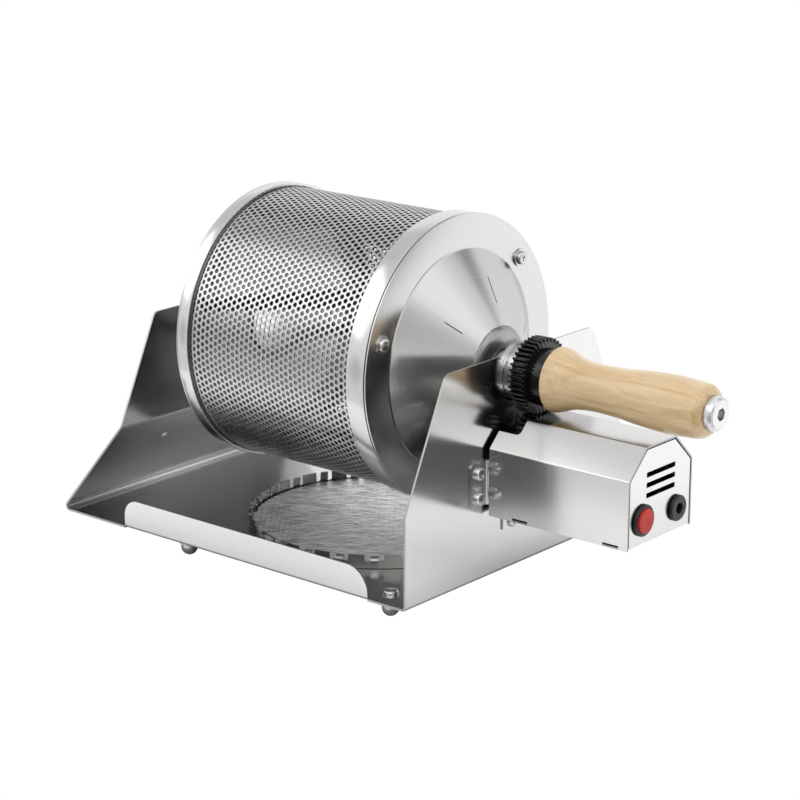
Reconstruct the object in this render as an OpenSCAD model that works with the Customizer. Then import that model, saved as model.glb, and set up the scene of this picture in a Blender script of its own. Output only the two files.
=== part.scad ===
// Small drum coffee roaster: perforated drum over a burner ring, in a folded
// stainless frame, turned by a geared motor or by its wooden handle.
// Units are millimetres. The origin is at the middle of the feet's plane,
// +X runs along the drum toward the handle, +Y runs to the back, +Z is up.

/* [Base and end plates] */
// Distance from the right end plate's outer face to the left panel's inner face
bay_len = 209; // [205:1:215]
// Depth of the folded base sheet
base_depth = 194.2; // [190:0.2:200]
// Thickness of the folded sheet
sheet_t = 1.2; // [1:0.1:1.5]
// Height of the drum axis above the underside of the base
axis_h = 109.4; // [109:0.1:112]
// Height of both end plates above the underside of the base
plate_h = 121.3; // [120:0.1:125]
// Height where the right end plate starts to narrow
knee_h = 51.2; // [45:0.1:55]
// Height of the fold between the left sloped panel and its upright
fold_h = 59; // [55:0.5:62]
// Slope of the lower left panel from level
slope_a = 49.3; // [48:0.1:52]
// Height of the upturned lips at the front and back
lip_h = 17.5; // [14:0.5:20]
// Height of the feet under the base
foot_h = 11.5; // [11:0.1:13]

/* [Burner] */
// Distance from the right end plate to the burner ring's centre
burner_x = 99; // [97:0.5:101]
// Outer radius of the burner ring
ring_r = 75.8; // [74:0.2:77]
// Height of the burner ring above the base sheet
ring_h = 9.4; // [8:0.2:12]
// Number of bent tabs round the burner ring
tab_count = 24; // [20:1:26]
// Radius of the hole in the base below the gauze
port_r = 70; // [66:1:72]

/* [Drum] */
// Outer radius of the drum's right flange
drum_r = 80; // [79:0.1:80.5]
// Outer radius of the perforated shell
mesh_r = 77.5; // [77:0.1:77.8]
// Gap between the drum's left face and the left panel
left_gap = 27.9; // [25:0.1:31]
// Distance from the right end plate to the drum's right flange face
drum_right = 41.6; // [41:0.1:44]
// Number of holes in each ring of the perforated shell
holes_round = 40; // [12:1:48]
// Number of hole rings along the perforated shell
hole_rows = 10; // [2:1:11]
// Diameter of each hole in the perforated shell
hole_d = 6; // [3:0.1:7]
// Number of mixing vanes in the drum
vane_count = 6; // [6:1:6]

/* [Drive] */
// Gear module
gear_m = 1; // [1:0.01:1.02]
// Teeth on the drum gear
gear_teeth = 40; // [40:1:40]
// Teeth on the motor pinion
pinion_teeth = 30; // [30:1:30]
// Distance from the right end plate to the gears
gear_x = 6.5; // [6.2:0.1:6.8]
// Face width of the gears
gear_w = 9; // [8.5:0.1:9.1]
// Outer radius of the black hub
hub_r = 15.8; // [15:0.1:16.5]
// Outer radius of the bearing collar
collar_r = 16.7; // [16.4:0.1:17]
// Radius of the drum axle in its bearing
axle_r = 10.2; // [9.8:0.1:10.4]

/* [Handle] */
// Distance from the right end plate to the start of the wood
handle_x = 24.5; // [24:0.1:25]
// Length of the wooden grip
handle_len = 96.8; // [90:0.2:104]

/* [Motor housing] */
// Distance from the right end plate to the housing's end face
case_x = 92.6; // [90:0.1:96]
// Sideways place of the housing's middle
case_y = -1.5; // [-2:0.1:-1]
// Half the width of the housing
case_half = 29; // [28.5:0.1:30]
// Height of the housing's underside
case_z = 36.3; // [35:0.1:37]
// Height of the housing's shoulders
shoulder_h = 73.6; // [73:0.1:75]
// Height of the housing's roof
roof_h = 88.9; // [88.6:0.1:89.2]
// Half the width of the flat roof
roof_half = 13.35; // [13:0.05:14]
// Thickness of the housing's sheet
case_t = 1; // [0.8:0.1:1.2]

/* [Shown part] */
// Part to draw, or all of them

/* [Hidden] */
$fn = 96;
half = base_depth / 2;
ro = 2 * sheet_t;
left_ro = 3;
left_ri = left_ro - sheet_t;
base_end = bay_len + sheet_t * sin(slope_a) + (fold_h + sheet_t * cos(slope_a)) / tan(slope_a);
bend_x = base_end - left_ro / tan(slope_a / 2);
handle_reach = handle_x + handle_len + 5.2;
plate_x = (bend_x + left_ro - handle_reach) / 2;
plate_slope = 0.468;
ring_t = 1;
gauze_z = 4.9;
run_gap = 0.1;
drum_left = bay_len - left_gap;
band_w = 8.1;
mouth_reach = 13;
neck_r = collar_r - 0.7;
journal_r = 20;
bore_gap = 0.05;
flange_t = 1.1;
right_band_x = drum_right + 14.3;
cone_r0 = 60.8;
cone_r1 = 22;
cone_x0 = 40.5;
cone_x1 = 14.5;
shell_t = 0.9;
ear_r = 64;
screw_pcd = 70;
step_r = 8;
stud_r = 4;
pinion_h = axis_h - gear_m * (gear_teeth + pinion_teeth) / 2;
motor_h = pinion_h - 7;
shaft_r = 3;
gearbox_r = 18.5;
motor_r = 17.5;
bracket_x = 18;
bracket_t = 1.2;
gearbox_x = bracket_x + bracket_t;
gearbox_len = 24;
motor_x = gearbox_x + gearbox_len;
motor_len = 28.2;
foot_x = [22.5, bay_len - 37.2];
foot_y = 82.3;
tab_screw_y = 36.1;
tab_screw_h = [47.1, 61.2];
tray_tab_h = 24;
bolt_drop = 17.5;
bolt_x = bay_len + bolt_drop / tan(slope_a) + 0.25;
bolt_y = base_depth / 4 - 0.15;
tray_screw_h = 27;
switch_y = -17.2;
switch_h = 50.1;
switch_r = 7.6;
cap_r = 6.6;
jack_y = 13.7;
jack_h = 49;
foot_hole_r = 2.6;
slit_angles = [17, 77, 137, 197, 257, 317];
screw_angles = [42.4, 162.4, 282.4];

// Places that are shared by several parts.
module place() {
    translate([plate_x, 0, foot_h]) children();
}

// Local Z runs along +X on the given axis height; a local angle of 90 degrees is +Y.
module along(x, h, y = 0) {
    place() translate([x, y, h]) rotate([0, 90, 0]) children();
}

module on_drum(x) {
    along(x, axis_h) children();
}

// Turns about the drum axis, the angle counted from +Y toward +Z.
module turned(a) {
    rotate([0, 0, a + 90]) children();
}

module tube(r_out, r_in, h) {
    difference() {
        cylinder(r = r_out, h = h);
        translate([0, 0, -1]) cylinder(r = r_in, h = h + 2);
    }
}

// Part of a bent sheet: an arc of the sheet's section, as long as the sheet is deep.
module bend(r_in, t, angle, deep) {
    rotate_extrude(angle = angle) translate([r_in, 0]) square([t, deep]);
}

module pan_head(r, h) {
    cylinder(r = r, h = h * 0.45);
    translate([0, 0, h * 0.45]) cylinder(r1 = r, r2 = r * 0.62, h = h * 0.55);
}

module cross_recess(r, deep) {
    for (a = [0, 90]) rotate([0, 0, a]) translate([-r * 0.55, -r * 0.11, -deep]) cube([r * 1.1, r * 0.22, deep + 1]);
}

module pan_screw(head_r, head_h, shank_r, shank_len) {
    difference() {
        pan_head(head_r, head_h);
        translate([0, 0, head_h]) cross_recess(head_r, head_h * 0.5);
    }
    translate([0, 0, -shank_len]) cylinder(r = shank_r, h = shank_len + 0.2);
}

module hex_nut(flats, h, bore) {
    difference() {
        cylinder(r = flats / sqrt(3), h = h, $fn = 6);
        translate([0, 0, -1]) cylinder(r = bore, h = h + 2);
    }
}

function unit(v) = v / norm(v);

// Points of a rounded corner at b, between the neighbours a and c.
function corner(a, b, c, r, n = 6) = let (
    u = unit(a - b),
    v = unit(c - b),
    h = acos(u * v) / 2,
    m = b + unit(u + v) * (r / sin(h)),
    s = b + u * (r / tan(h)) - m,
    e = b + v * (r / tan(h)) - m,
    a0 = atan2(s[1], s[0]),
    da = (atan2(e[1], e[0]) - a0 + 540) % 360 - 180
) [for (i = [0:n]) m + r * [cos(a0 + da * i / n), sin(a0 + da * i / n)]];

// Outline of an end plate: level bottom, sides that narrow from the knee up, rounded top.
module end_outline(bottom, knee, top, r) {
    w1 = half - plate_slope * (top - knee);
    polygon(concat(
        [[-half, bottom], [half, bottom]],
        bottom < knee ? [[half, knee]] : [],
        corner([half, knee], [w1, top], [-w1, top], r),
        corner([w1, top], [-w1, top], [-half, knee], r),
        bottom < knee ? [[-half, knee]] : []));
}

// Sheet plate standing across X, its outer face on the local plane X = 0.
module upright(t) {
    rotate([90, 0, 90]) translate([0, 0, -t]) linear_extrude(t) children();
}

// Open slot for a round neck: half round at the bottom, straight sides, eased mouth.
module neck_slot(r, t) {
    ease = 3;
    rotate([0, -90, 0]) translate([0, 0, -1]) cylinder(r = r, h = t + 2);
    translate([-t - 1, -r, 0]) cube([t + 2, 2 * r, plate_h]);
    for (s = [-1, 1]) difference() {
        translate([-t - 1, s * (r + ease / 2) - ease / 2, plate_h - axis_h - ease])
            cube([t + 2, ease, ease + 1]);
        translate([1, s * (r + ease), plate_h - axis_h - ease]) rotate([0, -90, 0])
            translate([0, 0, -1]) cylinder(r = ease, h = t + 4);
    }
}

// Rounded lip outline, standing on the level line where its bend ends.
module lip_outline(x0, x1, h) {
    polygon(concat(
        [[x0, ro]],
        [[x1, ro]],
        corner([x1, ro], [x1, h], [x0, h], 14.5, 10),
        corner([x1, h], [x0, h], [x0, ro], 10, 8)));
}

lip_x0 = 0.5 - bay_len;
lip_x1 = -26.1;

// Frame: base with lips, end plate, left panel.
module base_sheet() {
    color([0.78, 0.78, 0.8]) place() {
        difference() {
            union() {
                translate([-bend_x, -half + ro, 0]) cube([bend_x - ro, base_depth - 2 * ro, sheet_t]);
                for (s = [-1, 1]) {
                    translate([-bend_x, s * (half - ro / 2) - ro / 2, 0])
                        cube([bend_x + lip_x0, ro, sheet_t]);
                    translate([lip_x1, s * (half - ro / 2) - ro / 2, 0])
                        cube([-lip_x1 - ro, ro, sheet_t]);
                }
            }
            translate([-burner_x, 0, -1]) cylinder(r = port_r, h = sheet_t + 2, $fn = 144);
            for (x = foot_x, s = [-1, 1])
                translate([-x, s * foot_y, -1]) cylinder(r = foot_hole_r, h = sheet_t + 2, $fn = 32);
        }
        for (s = [0, 1]) mirror([0, s, 0]) {
            translate([lip_x0, -half + ro, ro]) rotate([0, 90, 0]) rotate([0, 0, -90])
                bend(sheet_t, ro - sheet_t, 90, lip_x1 - lip_x0);
            translate([0, -half + sheet_t, 0]) rotate([90, 0, 0]) linear_extrude(sheet_t)
                lip_outline(lip_x0, lip_x1, lip_h);
        }
    }
}

module right_plate() {
    color([0.76, 0.76, 0.78]) place() {
        translate([-ro, half, ro]) rotate([90, 0, 0]) rotate([0, 0, -90])
            bend(ro - sheet_t, sheet_t, 90, base_depth);
        difference() {
            upright(sheet_t) end_outline(ro, knee_h, plate_h, 4);
            translate([0, 0, axis_h]) neck_slot(neck_r + run_gap, sheet_t);
            for (s = [-1, 1], h = tab_screw_h)
                translate([-sheet_t - 1, case_y + s * tab_screw_y, h]) rotate([0, 90, 0])
                    cylinder(r = 2, h = sheet_t + 2, $fn = 32);
            for (s = [-1, 1])
                translate([-sheet_t - 1, case_y + s * 7, tray_screw_h]) rotate([0, 90, 0])
                    cylinder(r = 1.5, h = sheet_t + 2, $fn = 32);
        }
    }
}

// Points of an arc about m, from angle a0 to a1.
function arc(m, r, a0, a1, n) = [for (i = [0:n]) m + r * [cos(a0 + (a1 - a0) * i / n),
    sin(a0 + (a1 - a0) * i / n)]];

// Left panel: one strip seen from its edge, cut to the end outline.
module left_panel() {
    turn = 90 - slope_a;
    m1 = [-bend_x, left_ro];
    m2 = [-bay_len - ro, fold_h + ro * tan(turn / 2)];
    color([0.74, 0.74, 0.76]) place() difference() {
        intersection() {
            translate([0, half, 0]) rotate([90, 0, 0]) linear_extrude(base_depth) polygon(concat(
                arc(m1, left_ro, 270, 90 + slope_a, 10),
                arc(m2, ro - sheet_t, -turn, 0, 4),
                [[-bay_len - sheet_t, plate_h], [-bay_len, plate_h]],
                arc(m2, ro, 0, -turn, 4),
                arc(m1, left_ri, 90 + slope_a, 270, 10)));
            translate([-bay_len + 5, 0, 0]) upright(bay_len / 2) end_outline(-1, fold_h, plate_h, 4);
        }
        for (s = [-1, 1])
            translate([-bolt_x, s * bolt_y, fold_h - bolt_drop]) rotate([0, -slope_a, 0])
                translate([0, 0, -3]) cylinder(r = 2, h = 8, $fn = 32);
        translate([-bay_len, 0, axis_h]) neck_slot(journal_r + run_gap, sheet_t);
    }
}

module feet() {
    color([0.8, 0.8, 0.82]) place() for (x = foot_x, s = [-1, 1]) translate([-x, s * foot_y, 0]) {
        dome_r = 4.75;
        difference() {
            union() {
                translate([0, 0, -4.75]) cylinder(r = 10 / sqrt(3), h = 4.75, $fn = 6);
                translate([0, 0, dome_r - foot_h]) cylinder(r = dome_r, h = foot_h - dome_r - 4.7);
                translate([0, 0, dome_r - foot_h]) sphere(r = dome_r);
            }
            translate([0, 0, -8]) cylinder(r = 2.5, h = 9, $fn = 32);
        }
    }
}

module foot_screws() {
    color([0.8, 0.8, 0.82]) place() for (x = foot_x, s = [-1, 1])
        translate([-x, s * foot_y, sheet_t]) pan_screw(4.3, 3, 2.5, 9);
}

// Burner: slotted ring with every other tab bent in over the gauze.
module burner_ring() {
    pitch = 360 / tab_count;
    gap_w = 10.8;
    cut_z = 5.4;
    lean = 40;
    rise = ring_h - cut_z;
    color([0.7, 0.7, 0.71]) place() translate([-burner_x, 0, 0]) {
        difference() {
            translate([0, 0, sheet_t]) tube(ring_r, ring_r - ring_t, ring_h, $fn = 144);
            for (k = [0:tab_count - 1]) rotate([0, 0, (k + 0.5) * pitch])
                translate([ring_r - 4, -gap_w / 2, cut_z]) cube([8, gap_w, ring_h]);
        }
        for (k = [0:tab_count - 1]) rotate([0, 0, (k + 0.5) * pitch])
            rotate([90, 0, 0]) linear_extrude(4.4, center = true) polygon([
                [ring_r - 0.8, cut_z - 0.6], [ring_r - 0.1, cut_z - 0.6], [ring_r - 0.1, cut_z],
                [ring_r - 0.1 - rise * tan(lean), cut_z + rise],
                [ring_r - 0.8 - rise * tan(lean), cut_z + rise], [ring_r - 0.8, cut_z]]);
    }
}

module gauze_pan() {
    pan_r = ring_r - ring_t - 0.3;
    color([0.66, 0.66, 0.68]) place() translate([-burner_x, 0, 0]) {
        translate([0, 0, gauze_z - 0.6]) cylinder(r = pan_r, h = 0.9, $fn = 144);
        translate([0, 0, sheet_t]) tube(pan_r, pan_r - 0.8, gauze_z - sheet_t, $fn = 144);
    }
}

// Drum.
module drum_shell() {
    x0 = drum_left - flange_t;
    x1 = drum_right + 2 * flange_t;
    len = x0 - x1;
    far = drum_left - band_w - 2;
    field = far - right_band_x - 1.1;
    step = field / hole_rows;
    color([0.72, 0.72, 0.73]) on_drum(-x0) difference() {
        tube(mesh_r, mesh_r - shell_t, len, $fn = 180);
        for (i = [0:hole_rows - 1], k = [0:holes_round - 1])
            translate([0, 0, x0 - far + (i + 0.5) * step])
                rotate([0, 0, (k + (i % 2) / 2) * 360 / holes_round])
                    translate([mesh_r - 2.5, 0, 0]) rotate([0, 90, 0])
                        cylinder(d = hole_d, h = 5, $fn = 24);
    }
}

module left_band() {
    color([0.8, 0.8, 0.81]) on_drum(-drum_left + flange_t)
        tube(drum_r - 0.5, mesh_r, band_w - flange_t, $fn = 180);
}

module right_band() {
    color([0.8, 0.8, 0.81]) on_drum(-right_band_x) {
        tube(drum_r - 0.1, mesh_r, right_band_x - drum_right - flange_t, $fn = 180);
        translate([0, 0, right_band_x - drum_right - 2 * flange_t]) difference() {
            tube(mesh_r + 0.5, ear_r, flange_t, $fn = 180);
            for (a = screw_angles) turned(a) translate([screw_pcd, 0, -1])
                cylinder(r = 2.1, h = 4, $fn = 32);
        }
    }
}

module left_end_cap() {
    color([0.78, 0.78, 0.79]) on_drum(-drum_left) tube(drum_r - 0.5, journal_r, flange_t, $fn = 180);
}

// Mouth of the drum: the hollow journal that lies in the left panel's slot.
module journal_tube() {
    color([0.78, 0.78, 0.8]) on_drum(-bay_len - mouth_reach) {
        tube(journal_r, journal_r - 1.2, left_gap + mouth_reach + flange_t + 2);
        tube(journal_r + 3, journal_r - 1.2, 1.2);
    }
}

module right_end_cap() {
    color([0.82, 0.82, 0.83]) on_drum(0) difference() {
        rotate_extrude($fn = 180) polygon(concat(
            [[drum_r, -drum_right], [drum_r, -drum_right - flange_t],
                [cone_r0 - 0.9, -drum_right - flange_t],
                [cone_r1 - 0.9, -cone_x1 - 1.3], [cone_r1, -cone_x1]],
            corner([cone_r1, -cone_x1], [cone_r0, -drum_right], [drum_r, -drum_right], 3, 5)));
        for (a = screw_angles) turned(a) translate([screw_pcd, 0, -drum_right - 3])
            cylinder(r = 2.1, h = 5, $fn = 32);
        for (i = [0:vane_count - 1]) turned(slit_angles[i])
            translate([slit_r0(i), -0.55, -drum_right]) cube([slit_r1(i) - slit_r0(i), 1.1, 30]);
    }
}

function slit_r0(i) = i % 3 == 2 ? 32 : 33.3;
function slit_r1(i) = i % 3 == 2 ? 41.6 : 46.6;

// Shallow cap that closes the cone round the axle.
module neck_cap() {
    color([0.84, 0.84, 0.85]) on_drum(0) rotate_extrude()
        polygon([[axle_r, -13.4], [cone_r1 - 1, -15.4], [cone_r1 - 0.9, -14.5],
            [cone_r1 - 2, -13.9], [15, -12.4], [axle_r + 0.6, -12], [axle_r + 0.6, -12.8], [axle_r, -12.8]]);
}

module end_cap_washers() {
    color([0.8, 0.8, 0.8]) on_drum(-drum_right) for (a = screw_angles) turned(a)
        translate([screw_pcd, 0, 0]) tube(5, 2.1, 0.8, $fn = 48);
}

module end_cap_screws() {
    color([0.82, 0.82, 0.82]) on_drum(-drum_right + 0.8) for (a = screw_angles) turned(a)
        translate([screw_pcd, 0, 0]) pan_screw(3.8, 2.4, 2, 7);
}

module end_cap_nuts() {
    color([0.8, 0.8, 0.8]) on_drum(-drum_right - 2 * flange_t - 3.2) for (a = screw_angles) turned(a)
        translate([screw_pcd, 0, 0]) hex_nut(7, 3.2, 2, $fn = 32);
}

// Six plates inside the shell, each held by its tab in a slit of the end cone.
module mixing_vanes() {
    inner_r = mesh_r - shell_t;
    x0 = drum_left - flange_t;
    color([0.7, 0.7, 0.71]) on_drum(0) for (i = [0:vane_count - 1]) turned(slit_angles[i]) {
        intersection() {
            translate([0, 0, -31]) rotate([12, 0, 0]) translate([0, 0, 31])
                rotate([90, 0, 0]) translate([0, 0, -0.45]) linear_extrude(0.9)
                    polygon([[58, -x0 - 10], [90, -x0 - 10], [90, -drum_right - 12],
                        [ear_r - 2, -drum_right - 2.4], [slit_r1(i) + 1, -30],
                        [slit_r0(i) - 1, -29], [52, -60], [58, -75]]);
            union() {
                translate([0, 0, -x0]) cylinder(r = inner_r, h = x0 - drum_right - 2 * flange_t - 4, $fn = 180);
                translate([0, 0, -drum_right - 2 * flange_t - 4.1]) cylinder(r = ear_r - 1, h = 5.1, $fn = 180);
                translate([0, 0, -drum_right - 1.4])
                    cylinder(r1 = cone_r0 - 0.9, r2 = cone_r1 - 0.9, h = drum_right - cone_x1, $fn = 180);
            }
        }
        translate([slit_r0(i) + 0.1, -0.45, -36]) intersection() {
            cube([slit_r1(i) - slit_r0(i) - 0.2, 0.9, 20]);
            translate([-slit_r0(i) - 0.1, 0.45, 36 - drum_right]) cylinder(r1 = cone_r0 + 1.4,
                r2 = cone_r1 + 1.4, h = drum_right - cone_x1, $fn = 180);
        }
    }
}

module drum_axle() {
    color([0.75, 0.75, 0.77]) on_drum(0) difference() {
        union() {
            translate([0, 0, -18]) cylinder(r = axle_r, h = 23.5);
            translate([0, 0, 5]) cylinder(r = step_r, h = handle_x - 5.5);
            translate([0, 0, -19.4]) cylinder(r = cone_r1 - 2.5, h = 3.9);
        }
        translate([0, 0, 9]) cylinder(r = stud_r, h = handle_x, $fn = 48);
    }
}

// Involute gear outline: flank points at even radius steps from the base circle to the tip.
function inv(a) = tan(a) * 180 / PI - a;
function tooth_half(z, m, r, slack) = 90 / z - slack + inv(20)
    - inv(acos(min(1, m * z * cos(20) / 2 / r)));
function polar(r, a) = [r * cos(a), r * sin(a)];
function gear_points(z, m, slack, n = 5) = let (
    rb = m * z * cos(20) / 2,
    rt = m * (z / 2 + 1) - 0.08,
    rr = m * (z / 2 - 1.25)
) [for (k = [0:z - 1]) for (p = concat(
    [polar(rr, k * 360 / z - tooth_half(z, m, rb, slack) - 0.4)],
    [for (j = [0:n]) polar(rb + (rt - rb) * j / n,
        k * 360 / z - tooth_half(z, m, rb + (rt - rb) * j / n, slack))],
    [for (j = [n:-1:0]) polar(rb + (rt - rb) * j / n,
        k * 360 / z + tooth_half(z, m, rb + (rt - rb) * j / n, slack))],
    [polar(rr, k * 360 / z + tooth_half(z, m, rb, slack) + 0.4)])) p];

// Drum gear with its hub and a short spacer on the bearing side.
module drum_gear() {
    color([0.09, 0.09, 0.1]) on_drum(0) difference() {
        union() {
            translate([0, 0, gear_x]) linear_extrude(gear_w) polygon(gear_points(gear_teeth, gear_m, 0.14));
            translate([0, 0, 5.5]) cylinder(r = 12, h = 2);
            translate([0, 0, gear_x + gear_w - 0.2])
                cylinder(r = hub_r, h = handle_x - gear_x - gear_w - 0.6);
            translate([0, 0, handle_x - 0.9]) cylinder(r1 = hub_r, r2 = hub_r - 0.7, h = 0.9);
        }
        translate([0, 0, 3]) cylinder(r = step_r, h = handle_x);
    }
}

// Bearing collar: grooved to sit in the end plate's slot, bored for the axle.
module bearing_collar() {
    color([0.8, 0.8, 0.82]) on_drum(0) difference() {
        union() {
            translate([0, 0, -4]) cylinder(r1 = collar_r - 0.4, r2 = collar_r, h = 0.4);
            translate([0, 0, -3.6]) cylinder(r = collar_r, h = 3.6 - sheet_t - 0.3);
            translate([0, 0, -sheet_t - 0.4]) cylinder(r = neck_r, h = sheet_t + 0.8);
            translate([0, 0, 0.3]) cylinder(r = collar_r, h = 4.3);
            translate([0, 0, 4.6]) cylinder(r1 = collar_r, r2 = collar_r - 0.4, h = 0.4);
        }
        translate([0, 0, -5]) cylinder(r = axle_r + bore_gap, h = 11);
    }
}

// Turned grip: a smooth curve through a few measured radii along its length.
grip = [[0, 17.9], [5.5, 16.6], [14, 13.8], [25.5, 12.7], [41.5, 13.2], [55.5, 14.6],
    [70.5, 15.4], [83.5, 15.1], [92, 14.5]];

function spline(p, q, r, s, t) = (2 * q + (r - p) * t + (2 * p - 5 * q + 4 * r - s) * t * t
    + (3 * q - p - 3 * r + s) * t * t * t) / 2;
function grip_points(n = 4) = let (m = len(grip) - 1)
    [for (i = [0:m - 1], j = [0:n - 1])
        spline(grip[max(i - 1, 0)], grip[i], grip[i + 1], grip[min(i + 2, m)], j / n)];

module handle() {
    k = handle_len / 96.8;
    pts = [for (p = grip_points()) [p[1], p[0] * k]];
    color([0.8, 0.62, 0.42]) on_drum(handle_x) difference() {
        rotate_extrude() polygon(concat(
            [[0, 0], [17.2, 0]],
            [for (p = pts) if (p[1] > 0.5) p],
            [[14.5, 92 * k], [13.9, 94 * k], [13, 95.4 * k], [11.7, 96.4 * k], [10.4, handle_len], [0, handle_len]]));
        translate([0, 0, -1]) cylinder(r = stud_r + 0.2, h = handle_len + 2, $fn = 48);
        translate([0, 0, handle_len - 16]) cylinder(r = 6.2, h = 18, $fn = 48);
    }
}

module handle_stud() {
    color([0.7, 0.7, 0.72]) on_drum(9) cylinder(r = stud_r, h = handle_x + handle_len - 9 - 2, $fn = 48);
}

// Sleeve nut at the grip's end, with a hexagon socket in its face.
module handle_end_nut() {
    x1 = handle_reach;
    x0 = handle_x + handle_len;
    color([0.85, 0.85, 0.86]) on_drum(0) difference() {
        union() {
            translate([0, 0, x0 - 12]) cylinder(r = 6.1, h = 13);
            translate([0, 0, x0]) cylinder(r = 9.4, h = x1 - x0 - 2);
            translate([0, 0, x1 - 2.01]) cylinder(r1 = 9.4, r2 = 7.6, h = 2.01);
        }
        translate([0, 0, x0 - 14]) cylinder(r = stud_r, h = 14, $fn = 48);
        translate([0, 0, x1 - 4.5]) cylinder(r = 6.2 / sqrt(3), h = 6, $fn = 6);
    }
}

// Housing: outline of the folded cover, drawn at a given distance inside its outer face.
turn_a = atan2(case_half - roof_half, roof_h - shoulder_h);
module case_outline(t, bottom) {
    w = case_half - t;
    z1 = shoulder_h - t * tan(turn_a / 2);
    w2 = roof_half - t * tan((90 - turn_a) / 2);
    z2 = roof_h - t;
    polygon([[-w, bottom], [w, bottom], [w, z1], [w2, z2], [-w2, z2], [-w, z1]]);
}

module across(x, h) {
    translate([x, case_y, 0]) rotate([90, 0, 90]) linear_extrude(h) children();
}

notch_x = [18, 76.6];

module case_cover() {
    color([0.8, 0.8, 0.81]) place() {
        difference() {
            across(2, case_x - 2) case_outline(0, case_z);
            across(1, case_x) case_outline(case_t, case_z - 2);
            translate([0, case_y - 40, 81]) cube([16, 80, 20]);
            for (x = notch_x) translate([x, case_y - 40, case_z - 1]) cube([10, 80, 3]);
        }
        for (s = [-1, 1]) difference() {
            union() {
                translate([0, case_y + s * (case_half - case_t / 2) - case_t / 2, 42.6])
                    cube([3, case_t, 24.8]);
                translate([0, case_y, 0]) rotate([90, 0, 90]) linear_extrude(case_t) polygon(concat(
                    [[s * (case_half - case_t), 42.6]],
                    corner([s * case_half, 42.6], [s * 43.2, 42.6], [s * 43.2, 67.4], 3),
                    corner([s * 43.2, 42.6], [s * 43.2, 67.4], [s * case_half, 67.4], 3),
                    [[s * (case_half - case_t), 67.4]]));
            }
            for (h = tab_screw_h) translate([-1, case_y + s * tab_screw_y, h])
                rotate([0, 90, 0]) cylinder(r = 2, h = 4, $fn = 32);
        }
        for (s = [-1, 1], h = [51.2, 66]) translate([8, case_y + s * case_half, h])
            rotate([s * -90, 0, 0]) cylinder(r1 = 3, r2 = 2.6, h = 0.3);
    }
}

module case_tray() {
    w = case_half - case_t - 0.1;
    color([0.8, 0.8, 0.81]) place() {
        translate([0, case_y - w, case_z]) cube([case_x - 0.5, 2 * w, case_t]);
        for (x = notch_x) translate([x + 0.2, case_y - case_half, case_z]) cube([9.6, 2 * case_half, case_t]);
        difference() {
            translate([0, case_y - 14.5, tray_tab_h]) cube([case_t, 29, case_z - tray_tab_h + 0.2]);
            for (s = [-1, 1]) translate([-1, case_y + s * 7, tray_screw_h]) rotate([0, 90, 0])
                cylinder(r = 1.5, h = 4, $fn = 32);
        }
        difference() {
            across(case_x - case_t, case_t) case_outline(case_t + 0.1, case_z);
            for (i = [0:2]) translate([case_x - 3, case_y - 12.7, 72.2 - 5.6 * i]) cube([5, 26, 2.8]);
            translate([case_x - 3, switch_y, switch_h]) rotate([0, 90, 0]) cylinder(r = switch_r + 0.1, h = 5);
            translate([case_x - 3, jack_y, jack_h]) rotate([0, 90, 0]) cylinder(r = 5.1, h = 5);
        }
    }
}

module cover_screws() {
    color([0.82, 0.82, 0.84]) for (s = [-1, 1], h = tab_screw_h)
        along(case_t, h, case_y + s * tab_screw_y) pan_screw(3.5, 2.3, 2, 6);
}

module cover_nuts() {
    color([0.8, 0.8, 0.82]) {
        for (s = [-1, 1], h = tab_screw_h)
            along(-sheet_t - 3.2, h, case_y + s * tab_screw_y) hex_nut(7, 3.2, 2, $fn = 32);
        for (s = [-1, 1]) along(-sheet_t - 2.4, tray_screw_h, case_y + s * 7) hex_nut(5.5, 2.4, 1.5, $fn = 32);
    }
}

module tray_screws() {
    color([0.82, 0.82, 0.84]) for (s = [-1, 1])
        along(case_t, tray_screw_h, case_y + s * 7) pan_screw(2.9, 2, 1.5, 5);
}

// Motor unit inside the housing.
bracket_pts = [[0, 13.5], [13.5, 0], [0, -13.5], [-13.5, 0]];

module motor_bracket() {
    color([0.7, 0.7, 0.72]) place() difference() {
        union() {
            intersection() {
                translate([bracket_x, -20, case_z + case_t])
                    cube([bracket_t, 40, motor_h + 17 - case_z - case_t]);
                across(bracket_x - 1, 4) case_outline(case_t + 0.4, case_z);
            }
            translate([bracket_x, -20, case_z + case_t]) cube([14, 40, bracket_t]);
        }
        translate([bracket_x - 1, 0, pinion_h]) rotate([0, 90, 0]) cylinder(r = 6.2, h = 4);
        for (p = bracket_pts) translate([bracket_x - 1, p[0], motor_h + p[1] - 2]) rotate([0, 90, 0])
            cylinder(r = 1.5, h = 4, $fn = 24);
        for (s = [-1, 1]) translate([26, s * 14, case_z]) cylinder(r = 1.5, h = 6, $fn = 24);
    }
}

module bracket_screws() {
    color([0.8, 0.8, 0.82]) {
        for (p = [bracket_pts[1], bracket_pts[2], bracket_pts[3]])
            along(bracket_x, motor_h + p[1] - 2, p[0]) rotate([0, 180, 0]) pan_screw(2.6, 1.3, 1.5, 6);
    }
}

module gearbox() {
    color([0.68, 0.68, 0.7]) difference() {
        union() {
            along(gearbox_x, motor_h) cylinder(r = gearbox_r, h = gearbox_len);
            along(gearbox_x - 2.2, pinion_h) cylinder(r = 6, h = 2.4);
        }
        along(gearbox_x - 3, pinion_h) cylinder(r = shaft_r + bore_gap, h = 16, $fn = 48);
        for (p = [bracket_pts[1], bracket_pts[2], bracket_pts[3]])
            along(gearbox_x - 1, motor_h + p[1] - 2, p[0]) cylinder(r = 1.5, h = 6.5, $fn = 24);
    }
}

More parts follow.
